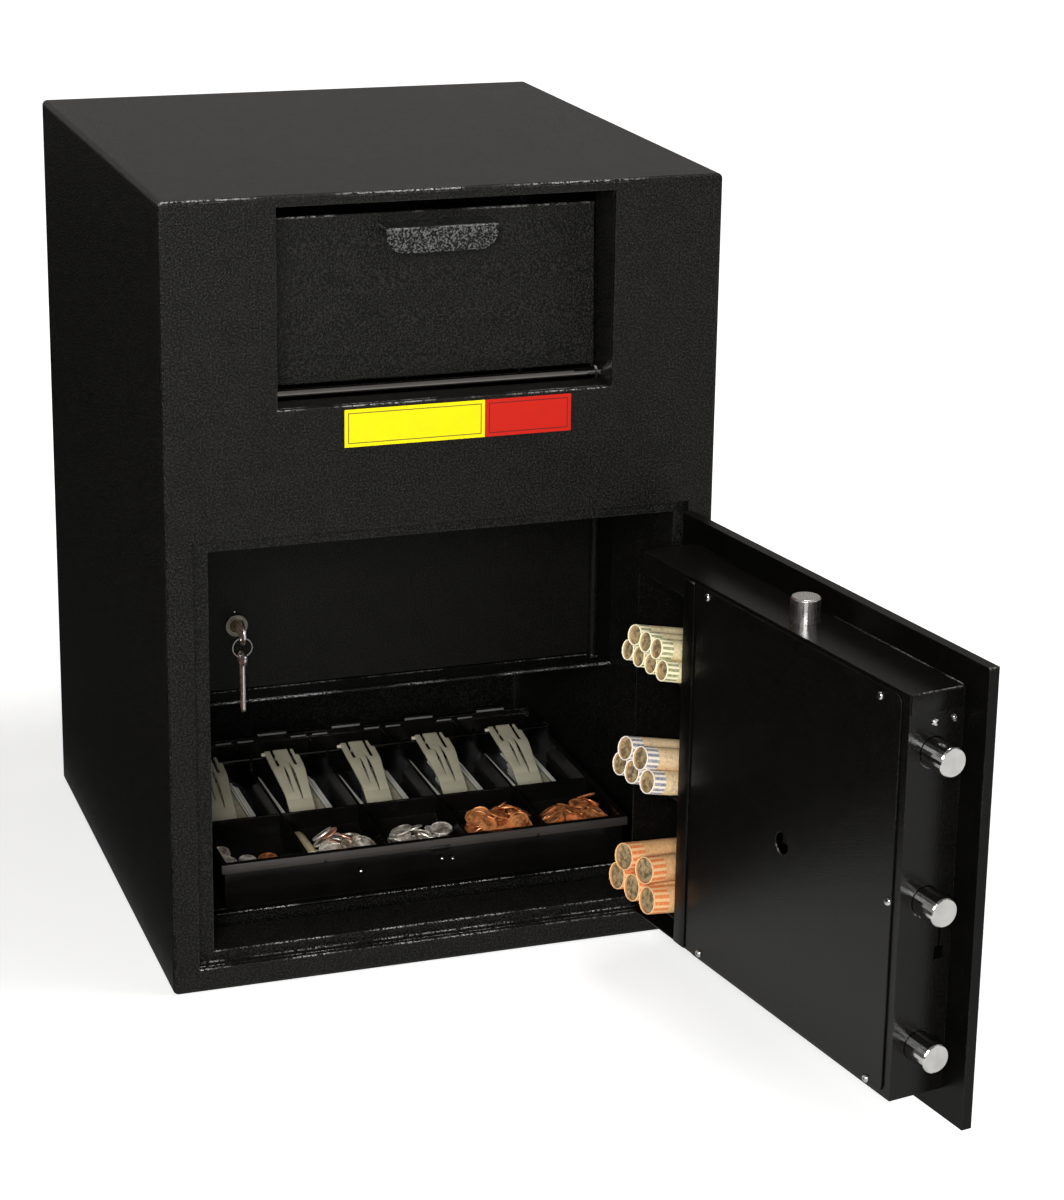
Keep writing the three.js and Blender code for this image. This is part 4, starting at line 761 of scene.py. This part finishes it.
def pileCoins(cup, index):
    # drops each coin flat onto what lies below it and keeps a height map of the pile
    left = tray["left"] + tray["pitch"] * index
    step = piling["cell"]
    across = int(tray["width"] / step)
    deep = int(tray["cupDepth"] / step)
    heights = [[scoopHeight(tray["cupFront"] + (j + 0.5) * step, cup) for j in range(deep)] for i in range(across)]
    chance = random.Random(cup["seed"])
    order = [kind for kind, count in cup["coins"].items() for n in range(count)]
    chance.shuffle(order)
    bm = bmesh.new()
    margin = tray["cupWall"] + cup["left"]
    for kind in order:
        r, t = coinKinds[kind]["radius"], coinKinds[kind]["thick"]
        best = None
        for attempt in range(piling["tries"]):
            x = chance.uniform(r + margin, tray["width"] - r - tray["cupWall"])
            y = chance.gauss(tray["cupDepth"] * cup["spread"][0], cup["spread"][1])
            y = min(max(y, r + piling["wallGap"]), tray["cupDepth"] - r - piling["wallGap"])
            cells = []
            for i in range(max(0, int((x - r) / step)), min(across, int((x + r) / step) + 1)):
                for j in range(max(0, int((y - r) / step)), min(deep, int((y + r) / step) + 1)):
                    dx, dy = (i + 0.5) * step - x, (j + 0.5) * step - y
                    if dx * dx + dy * dy <= r * r:
                        cells.append((i, j, dx, dy))
            mean = sum(heights[i][j] for i, j, dx, dy in cells) / len(cells)
            if best is None or mean < best[0]:
                best = (mean, x, y, cells)
        mean, x, y, cells = best
        sumX = sum(dx * dx for i, j, dx, dy in cells)
        slopeX = sum((heights[i][j] - mean) * dx for i, j, dx, dy in cells) / sumX + chance.gauss(0, piling["lean"])
        slopeY = sum((heights[i][j] - mean) * dy for i, j, dx, dy in cells) / sumX
        slopeY += chance.gauss(piling["leanBack"], piling["lean"])
        slopeX, slopeY = (min(max(v, -piling["steepest"]), piling["steepest"]) for v in (slopeX, slopeY))
        rest = sorted(heights[i][j] - slopeX * dx - slopeY * dy for i, j, dx, dy in cells)
        base = rest[int(len(rest) * piling["bedding"])] + t * 0.5 + piling["gap"]
        for i, j, dx, dy in cells:
            heights[i][j] = max(heights[i][j], base + t * 0.5 + slopeX * dx + slopeY * dy)
        normal = Vector((-slopeX, -slopeY, 1)).normalized()
        turn = Vector((0, 0, 1)).rotation_difference(normal).to_matrix().to_4x4()
        place = Matrix.Translation(((left + x) * mm, (tray["cupFront"] + y) * mm, base * mm)) @ turn
        finish = 2 if chance.random() < cup.get("rosy", 0) else coinKinds[kind]["finish"] == "copper_coin"
        addCoin(bm, kind, place @ Matrix.Rotation(chance.uniform(0, 6.28), 4, "Z"), int(finish))
    struck = [finishes[name] for name in ("silver_coin", "copper_coin", "rosy_coin")]
    keepMesh(f"loose_coins_{index + 1}", bm, struck, "till", smooth=28)


def scoopPiece(cup, index):
    # a thin curved liner along the cup's floor
    gap, steps = tray["linerGap"], tray["linerSteps"]
    left = tray["left"] + tray["pitch"] * index + gap
    bm = bmesh.new()
    rows = []
    for k in range(steps + 1):
        y = tray["cupFront"] + gap + (tray["cupDepth"] - 2 * gap) * k / steps
        z = scoopHeight(y, cup)
        rows.append([bm.verts.new((x * mm, y * mm, h * mm)) for x in (left, left + tray["width"] - 2 * gap)
            for h in (z, tray["floor"] + tray["linerFoot"])])
    for a, b in zip(rows, rows[1:]):
        bm.faces.new((a[0], a[2], b[2], b[0]))
        bm.faces.new((a[1], b[1], b[3], a[3]))
        bm.faces.new((a[0], b[0], b[1], a[1]))
        bm.faces.new((a[2], a[3], b[3], b[2]))
    bm.faces.new((rows[0][0], rows[0][1], rows[0][3], rows[0][2]))
    bm.faces.new((rows[-1][0], rows[-1][2], rows[-1][3], rows[-1][1]))
    keepMesh(f"cup_liner_{index + 1}", bm, finishes["till_plastic"], "till")


def layCoins(cup, index):
    # the few coins of the nearly empty cup: kind, place, lean and tilt
    bm = bmesh.new()
    for kind, x, y, z, lean, tilt in cup["placed"]:
        place = placed(x, y, z, tilt, "Y") @ placed(0, 0, 0, lean)
        addCoin(bm, kind, place, int(coinKinds[kind]["finish"] == "copper_coin"))
    keepMesh(f"loose_coins_{index + 1}", bm, [finishes["silver_coin"], finishes["copper_coin"]], "till", smooth=28)


for index, cup in enumerate(cups):
    scoopPiece(cup, index)
    if "placed" in cup:
        layCoins(cup, index)
    else:
        pileCoins(cup, index)

# a short roll of dimes left at the side of the second cup
spareRoll = dict(rollStacks[0], length=58.0, band=0.0, place=(-93.6, -150.0, 60.5), lean=87.0)
bm = bmesh.new()
addRoll(bm, spareRoll, placed(*spareRoll["place"], spareRoll["lean"]), bm.loops.layers.uv.new("wrap"), 1.0)
cupRollFinishes = [rollPaper("cupRollPaper", spareRoll), finishes["roll_coin"]]
keepMesh("roll_in_cup", bm, cupRollFinishes, "till")
print("coins dropped into the cups")

# the notes: a stack at the right of each bay, its top sheets fanned, and a few leaning on the left divider
noteLook = {
    "width": 27.0, "length": 132.0, "sheets": 15, "top": 60.0, "rightEdge": 67.4, "fanReach": 8.8, "fanStep": 2.2,
    "frontDip": 3.0, "rows": 12, "leaning": 3, "leanBack": (26.0, 8.0, 26.0, 20.0), "leanHeight": 42.6,
    "leanFoot": 6.0, "leanGap": 1.5, "paper": (0.68, 0.65, 0.50), "edge": (0.92, 0.90, 0.82), "ink": (0.05, 0.06, 0.05),
    "warm": (0.52, 0.36, 0.20), "green": (0.05, 0.22, 0.12), "margin": 1.2, "line": 1.0, "printFrom": 3.4,
    "fineLines": 5200.0, "waves": 420.0,
}


def noteFinish():
    # banknote paper: a pale margin, a plain printed frame and fine wavy lines, nothing legible
    material, shader = startMaterial("notePaper", 0.75, 0.0, 0.3)
    uv, across, down = uvPlace("sheet")
    inset = insideEdges((across, 0.0, noteLook["width"] * mm), (down, 0.0, noteLook["length"] * mm))
    margin, line = noteLook["margin"] * mm, noteLook["line"] * mm
    wave = times(calc("SINE", times(down, noteLook["waves"])), 2.6)
    lines = calc("SINE", calc("ADD", times(across, noteLook["fineLines"]), wave))
    field = calc("GREATER_THAN", inset, noteLook["printFrom"] * mm)
    patch = remap(noise(uv, 75.0, 4.0, 0.6), 0.45, 0.6)
    field = times(field, remap(lines, -0.2, 0.7, 0.1, 0.85), patch)
    ink = calc("MAXIMUM", times(within(inset, margin, margin + line), 0.8), field)
    sheetTone = addNode("ShaderNodeObjectInfo")["Random"]
    ink = times(ink, remap(sheetTone, 0.0, 1.0, 0.75, 1.0))
    place = objectPlace()
    paper = mixColour(times(noise(place, 40.0, 3.0), 0.8), noteLook["paper"], noteLook["warm"])
    paper = mixColour(calc("LESS_THAN", inset, margin), paper, noteLook["edge"])
    greenLine = times(within(inset, margin + line, margin + 2 * line), 0.8)
    paper = mixColour(greenLine, paper, noteLook["green"])
    dress(shader, mixColour(ink, paper, noteLook["ink"]),
        remap(noise(place, 800.0), 0.3, 0.7, 0.68, 0.82), noise(place, 900.0, 3.0), 0.00004)
    return material


finishes["note_paper"] = noteFinish()


def addSheet(bm, uvs, grid, rows, thickness, scale):
    # a thin closed sheet over a grid of (x, y, z, u, v) in millimetres, rows points deep
    layers = [[bm.verts.new((x * mm, y * mm, (z + side * thickness) * mm)) for x, y, z, u, v in grid]
        for side in (0.5, -0.5)]

    def face(corners, coordinates):
        for loop, (u, v) in zip(bm.faces.new(corners).loops, coordinates):
            loop[uvs].uv = (u * scale[0] * mm, v * scale[1] * mm)

    columns = len(grid) // rows
    for layer in layers:
        for i in range(columns - 1):
            for j in range(rows - 1):
                ids = [i * rows + j, (i + 1) * rows + j, (i + 1) * rows + j + 1, i * rows + j + 1]
                face([layer[k] for k in ids], [grid[k][3:] for k in ids])
    last = (columns - 1) * rows
    rim = ([i * rows for i in range(columns)] + [last + j for j in range(1, rows)]
        + [i * rows + rows - 1 for i in range(columns - 2, -1, -1)] + list(range(rows - 2, 0, -1)))
    for a, b in zip(rim, rim[1:] + rim[:1]):
        face([layers[0][a], layers[0][b], layers[1][b], layers[1][a]], [(0, 0)] * 4)


def noteStack(index):
    # sheets a little askew, the top ones fanned to the right and pressed down at the front
    look = noteLook
    chance = random.Random(70 + index)
    bm = bmesh.new()
    uvs = bm.loops.layers.uv.new("sheet")
    bayLeft = tray["left"] + tray["pitch"] * index
    count, width, length, rows = look["sheets"], look["width"], look["length"], look["rows"]
    thickness = (look["top"] - tray["floor"] - 0.6) / count
    for n in range(count):
        fromTop = count - 1 - n
        z = tray["floor"] + 0.4 + thickness * (n + 0.5)
        turn = math.radians(chance.gauss(0, 0.3))
        right = bayLeft + look["rightEdge"] - max(0.0, look["fanReach"] - look["fanStep"] * fromTop)
        right += chance.uniform(-0.5, 0.5)
        front = tray["bayFront"] + 2 + chance.uniform(0, 4)
        curl = chance.uniform(0.2, 0.8) if fromTop < 5 else 0.15
        grid = []
        for i in range(9):
            for j in range(rows):
                u, v = i / 8, j / (rows - 1)
                lift = curl * (u ** 4 + 0.8 * (abs(v - 0.5) * 2) ** 4)
                lift -= look["frontDip"] * max(0.0, 0.4 - v) * n / count
                x, y = (u - 1) * width, v * length
                px = right + x * math.cos(turn) - (y - length / 2) * math.sin(turn)
                grid.append((px, min(front + y, tray["bayBack"] - 0.5), z + lift, u, v))
        addSheet(bm, uvs, grid, rows, thickness * 0.9, (width, length))
    front = tray["bayFront"] + 3
    for n in range(look["leaning"] if index > 0 else 0):
        grid = []
        for i in range(7):
            for j in range(rows):
                u, v = i / 6, j / (rows - 1)
                away = 1.6 + look["leanGap"] * n + look["leanFoot"] * (1 - u) ** 1.5 + 0.6 * math.sin(3 * v + n)
                z = tray["floor"] + 0.8 + (look["leanHeight"] - 1.1 * n - 1.2 * v) * u
                grid.append((bayLeft + away, front + (look["leanBack"][index - 1] - front) * v, z, u * 0.2, v * 0.2))
        addSheet(bm, uvs, grid, rows, 0.5, (0.1, 0.1))
    keepMesh(f"plain_notes_{index + 1}", bm, finishes["note_paper"], "till")


for index in range(5):
    noteStack(index)
print("notes laid in the bays")

# trim: the till's rim band, a lighter strip that paints the rim's sheen, the latch, the rail clips, lighter bars that
# paint their highlights, the lip of the shelf under it and the stud over the cam lock
trim = {"rimFace": -179.6, "left": -188.0, "right": 214.0, "band": (71.4, 80.0), "clipFace": 113.4, "tab": (86.4, 88.6),
    "tabHalf": 15.0, "short": (81.2, 82.8), "shortHalf": 8.0, "shortOut": 11.5, "marks": (-88.3, 31.7, 122.1),
    "latch": (22.0, 69.2), "nubs": ((26.0, 60.0), (36.5, 58.8), (-54.0, 57.5)),
    "nubProfile": [(0.0, 2.2), (1.1, 2.0), (1.9, 1.2), (2.1, 0.0), (0.0, 0.0)],
    "shelfLip": (-194.0, 206.0, -181.4, -171.7, 30.2, 32.9, 1.1), "stud": (-137.0, -30.0, 274.5),
    "studProfile": [(0.0, 1.6), (0.8, 1.4), (1.3, 0.7), (1.4, 0.0), (0.0, 0.0)]}


def bar(bm, x0, x1, y0, y1, z0, z1, edge=0.3):
    slab(bm, ((x1 - x0) * mm, (y1 - y0) * mm, (z1 - z0) * mm),
        placed((x0 + x1) / 2, (y0 + y1) / 2, (z0 + z1) / 2), edge * mm)


face, clipFace, low = trim["rimFace"], trim["clipFace"], trim["band"][0]
band = bmesh.new()
bar(band, trim["left"] + 0.4, trim["right"] - 0.4, face - 0.5, face - 0.02, *trim["band"], 0.2)
keepMesh("rim_band", band, finishes["rim_plastic"], "till")
notches = bmesh.new()
for mark in trim["marks"]:
    bar(notches, mark - 1.4, mark + 1.4, face - 0.8, face - 0.4, low - 1.0, low + 2.4, 0.1)
x, z = trim["latch"]
bar(notches, x - 8, x + 12, face - 1.4, face - 0.02, z, z + 4.6, 0.5)
keepMesh("rim_notches", notches, finishes["till_plastic"], "till")

nubs = bmesh.new()
for x, z in trim["nubs"]:
    lathe(nubs, inMillimetres(trim["nubProfile"]), 18, placed(x, face, z, 90))
keepMesh("latch_nubs", nubs, finishes["chrome"], "till")

# rail clips in the lighter plastic: painted highlights along the rail
highlightClips = bmesh.new()
for i in range(5):
    left = tray["left"] + tray["pitch"] * i
    middle = left + tray["width"] / 2
    bar(highlightClips, middle - trim["tabHalf"], middle + trim["tabHalf"], clipFace - 1.0, clipFace - 0.02, *trim["tab"])
    for x in (left - 1.5 - trim["shortOut"], left - 1.5 + trim["shortOut"]):
        if x > tray["left"]:
            bar(highlightClips, x - trim["shortHalf"], x + trim["shortHalf"], clipFace - 0.8, clipFace - 0.02, *trim["short"])
keepMesh("rail_clips", highlightClips, finishes["rail_plastic"], "till")

# the shelf lip carries the black sheet's painted edge highlight along its top front edge
shelfLip = bmesh.new()
bar(shelfLip, *trim["shelfLip"])
keepMesh("shelf_lip", shelfLip, finishes["black_sheet"], "cabinet")

# trim of the door's box: the lid folded down over its end, and beads where the box meets the plate
# each slab: size, place on the door, rounding
boxTrim = {
    "lip": [((1.0, 49.0, 17.0), (28.1, 27.0, 389.9), 0.35), ((1.6, 51.0, 1.2), (28.4, 27.0, 398.9), 0.35)],
    "beads": [((400.0, 1.3, 1.1), (231.0, 0.9, 399.1), 0.4), ((17.0, 1.4, 344.0), (352.0, 55.3, 224.2), 0.5)],
}
boxMeshes = {}
for key, slabs in boxTrim.items():
    boxMeshes[key] = bmesh.new()
    for size, at, edge in slabs:
        slab(boxMeshes[key], [value * mm for value in size], doorPlace(*at, "up"), edge * mm)
keepMesh("box_lid_lip", boxMeshes["lip"], finishes["black_sheet"], "main_door")
keepMesh("box_strips", boxMeshes["beads"], finishes["shaded_door_powder"], "main_door")
dot = bmesh.new()
lathe(dot, inMillimetres(trim["studProfile"]), 18, placed(*trim["stud"], 90))
keepMesh("lock_stud", dot, finishes["chrome"], "locker")
print("trim made")

# keys
keyBlade = {"shank": 3.5, "hole": 3.0, "teeth": [0, 1.1, 0.3, 1.6, 0.6, 1.9, 0.4, 1.2, 0.2], "groove": (1.2, 0.25),
    "grooveAt": -0.9}
keySizes = {
    "inLock": {"length": 35.0, "hole": (0, -7.0), "teethFrom": 16.0, "bow": 12.0, "thick": 2.2, "bowOut": 25.3},
    "spare": {"length": 54.0, "hole": (-3.5, 0), "teethFrom": 14.0, "bow": 7.6, "thick": 3.0, "top": 0.8, "turn": 14},
}


def keyLoops(size):
    # the bow is centred on 0, 0 and the blade runs to +x
    length, shank, teeth = size["length"], keyBlade["shank"], keyBlade["teeth"]
    start = math.degrees(math.asin(shank / size["bow"]))
    bow = arcPoints(0, 0, size["bow"], start, 360 - start, 30)
    under = [(length - 3, -shank), (length, -shank + 2.5)]
    over = [(length, 0.5), (length - 2.5, shank - 1.5)]
    pitch = (length - 4 - size["teethFrom"]) / len(teeth)
    for n, cutDepth in enumerate(reversed(teeth)):
        x = length - 4 - pitch * n
        over += [(x - pitch * 0.25, shank - cutDepth), (x - pitch * 0.7, shank - cutDepth)]
    return [bow + under + over, arcPoints(*size["hole"], keyBlade["hole"], 0, 345, 23)]


def keyPiece(name, node, body, centre, turned, size):
    bm = plateMesh(name, keyLoops(size), size["thick"], 0.35)
    bm.normal_update()
    # painted highlight: the key's edges take bright satin steel, its faces the darker key metal
    for face in bm.faces:
        face.material_index = int(abs(face.normal.z) < 0.5)
    length, (wide, high) = size["length"], keyBlade["groove"]
    for side in (-1, 1):
        slab(bm, (length * 0.6 * mm, wide * mm, high * mm),
            placed(length * 0.62, keyBlade["grooveAt"], side * size["thick"] / 2))
    faceAndLitEdge = [finishes["key_metal"], finishes["satin_steel"]]
    piece = keepMesh(name, bm, faceAndLitEdge, body, Matrix.Translation(centre) @ turned)
    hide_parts(node)


lockAt = Vector(joints["locker_key_turn"]["pos_m"])
spare = keySizes["spare"]
bowAt = (lockAt.x, lockAt.y - keySizes["inLock"]["bowOut"] * mm, lockAt.z)
# the plate's x runs to the back and its y up for the key in the lock; the spare hangs with its blade down
inLock = Matrix(((0, 0, 1, 0), (1, 0, 0, 0), (0, 1, 0, 0), (0, 0, 0, 1)))
hanging = placed(0, 0, 0, spare["turn"], "Z") @ Matrix(((0, 0, -1, 0), (0, 1, 0, 0), (-1, 0, 0, 0), (0, 0, 0, 1)))
keyPiece("key_in_lock", "locker_key", "locker_lock", bowAt, inLock, keySizes["inLock"])
spareLow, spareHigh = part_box("spare_key")
spareAt = (lockAt.x, (spareLow.y + spareHigh.y) / 2, spareHigh.z - (spare["bow"] + spare["top"]) * mm)
keyPiece("key_on_ring", "spare_key", "keys", spareAt, hanging, spare)
print("keys made")

# camera, floor and light
view = {"place": (-0.7621, -2.6712, 1.2079), "along": (0.3170, 0.9051, -0.2834), "right": (0.9451, -0.3265, 0.0147),
    "focalPixels": 2981.1, "centreRow": 480.0, "imageHeight": 1200.0, "sensor": 36.0}
along = Vector(view["along"]).normalized()
right = Vector(view["right"])
right = (right - right.dot(along) * along).normalized()
up = right.cross(along)
cameraData = bpy.data.cameras.new("photoCamera")
cameraData.sensor_width = view["sensor"]
cameraData.lens = view["focalPixels"] / view["imageHeight"] * view["sensor"]
cameraData.shift_y = (view["centreRow"] - view["imageHeight"] / 2) / view["imageHeight"]
cameraData.clip_start, cameraData.clip_end = 0.05, 100.0
camera = bpy.data.objects.new("photoCamera", cameraData)
camera.matrix_world = Matrix.Translation(view["place"]) @ Matrix((right, up, -along)).transposed().to_4x4()
bpy.context.scene.collection.objects.link(camera)
bpy.context.scene.camera = camera

studio = {
    "floorHalf": 12.0, "floorColour": (0.86, 0.86, 0.85), "nearLift": 0.50, "farLift": 1.0, "nearRadius": 0.55,
    "farRadius": 1.5, "mirrorShare": 0.25, "cardColour": (0.01, 0.01, 0.01), "cardLeftOf": -0.27, "cardEdge": 0.03,
    "sky": (1.0, 0.955, 0.93), "worldStrength": 0.16, "backdrop": 0.42, "overhead": 0.22,
}
# name, size, place, aim, power
lamps = [
    ("topSoftbox", (0.7, 0.5), (0.55, -0.35, 2.7), (0.0, 0.0, 0.5), 26.0),
    ("cameraSoftbox", (1.2, 1.0), (-1.35, -3.5, 1.6), (0.0, -0.2, 0.25), 132.0),
    ("rightSoftbox", (1.4, 1.4), (2.3, -2.4, 1.9), (0.1, -0.4, 0.35), 12.0),
]
floorMesh = bmesh.new()
bmesh.ops.create_grid(floorMesh, x_segments=2, y_segments=2, size=studio["floorHalf"])
floor = bpy.data.meshes.new("floor")
floorMesh.to_mesh(floor)
floorMesh.free()
floorObject = bpy.data.objects.new("studio_floor", floor)
bpy.context.scene.collection.objects.link(floorObject)
floorMaterial, floorShader = startMaterial("floorPaper", 0.9, 0.0, 0.1)
floor.materials.append(floorMaterial)
floorObject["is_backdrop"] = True


def rayKinds():
    # the kinds of ray, and 1 for those straight from the camera, by a mirror or through glass
    path = addNode("ShaderNodeLightPath")
    return path, calc("MAXIMUM", path["Is Camera Ray"], path["Is Glossy Ray"], path["Is Transmission Ray"])


# the paper is white from far off and keeps the shadow near the safe
# for mirrored rays it is dark left of the safe, like a card laid there, which keeps the paint's mirror down
path, sight = rayKinds()
spot = objectPlace()
away = addNode("ShaderNodeVectorMath", {0: spot}, "LENGTH")["Value"]
lift = remap(away, studio["nearRadius"], studio["farRadius"], studio["nearLift"], studio["farLift"])
across = addNode("ShaderNodeSeparateXYZ", {0: spot})["X"]
card = remap(across, studio["cardLeftOf"] + studio["cardEdge"], studio["cardLeftOf"])
shaded = calc("SUBTRACT", 1.0, times(card, path["Is Glossy Ray"]))
mirrored = times(sight, shaded, studio["mirrorShare"])
glow = times(calc("MAXIMUM", mirrored, path["Is Camera Ray"]), lift)
setSockets(floorShader, {"Emission Color": (1.0, 1.0, 1.0), "Emission Strength": glow,
    "Base Color": mixColour(shaded, studio["cardColour"], studio["floorColour"])})

world = bpy.data.worlds.new("studioWorld")
bpy.context.scene.world = world
world.use_nodes = True
canvas["tree"] = world.node_tree
path, sight = rayKinds()
height = addNode("ShaderNodeSeparateXYZ", {0: addNode("ShaderNodeTexCoord")["Generated"]})["Z"]
overhead = remap(height, 0.10, 0.60, studio["backdrop"], studio["overhead"])
seen = calc("MAXIMUM", overhead, path["Is Camera Ray"])
level = addNode("ShaderNodeMix", {0: sight, 2: studio["worldStrength"], 3: seen})[0]
setSockets(world.node_tree.nodes["Background"], {"Strength": level,
    "Color": mixColour(path["Is Camera Ray"], studio["sky"], (1.0, 1.0, 1.0))})

for name, size, place, aim, power in lamps:
    data = bpy.data.lights.new(name, "AREA")
    data.shape = "RECTANGLE"
    data.size, data.size_y = size
    data.energy = power
    obj = bpy.data.objects.new(name, data)
    obj.location = place
    obj.rotation_mode = "QUATERNION"
    obj.rotation_quaternion = (Vector(aim) - Vector(place)).to_track_quat("-Z", "Y")
    bpy.context.scene.collection.objects.link(obj)
bpy.context.scene.view_settings.view_transform = "Standard"
print("camera, floor and lamps set")

low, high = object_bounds()
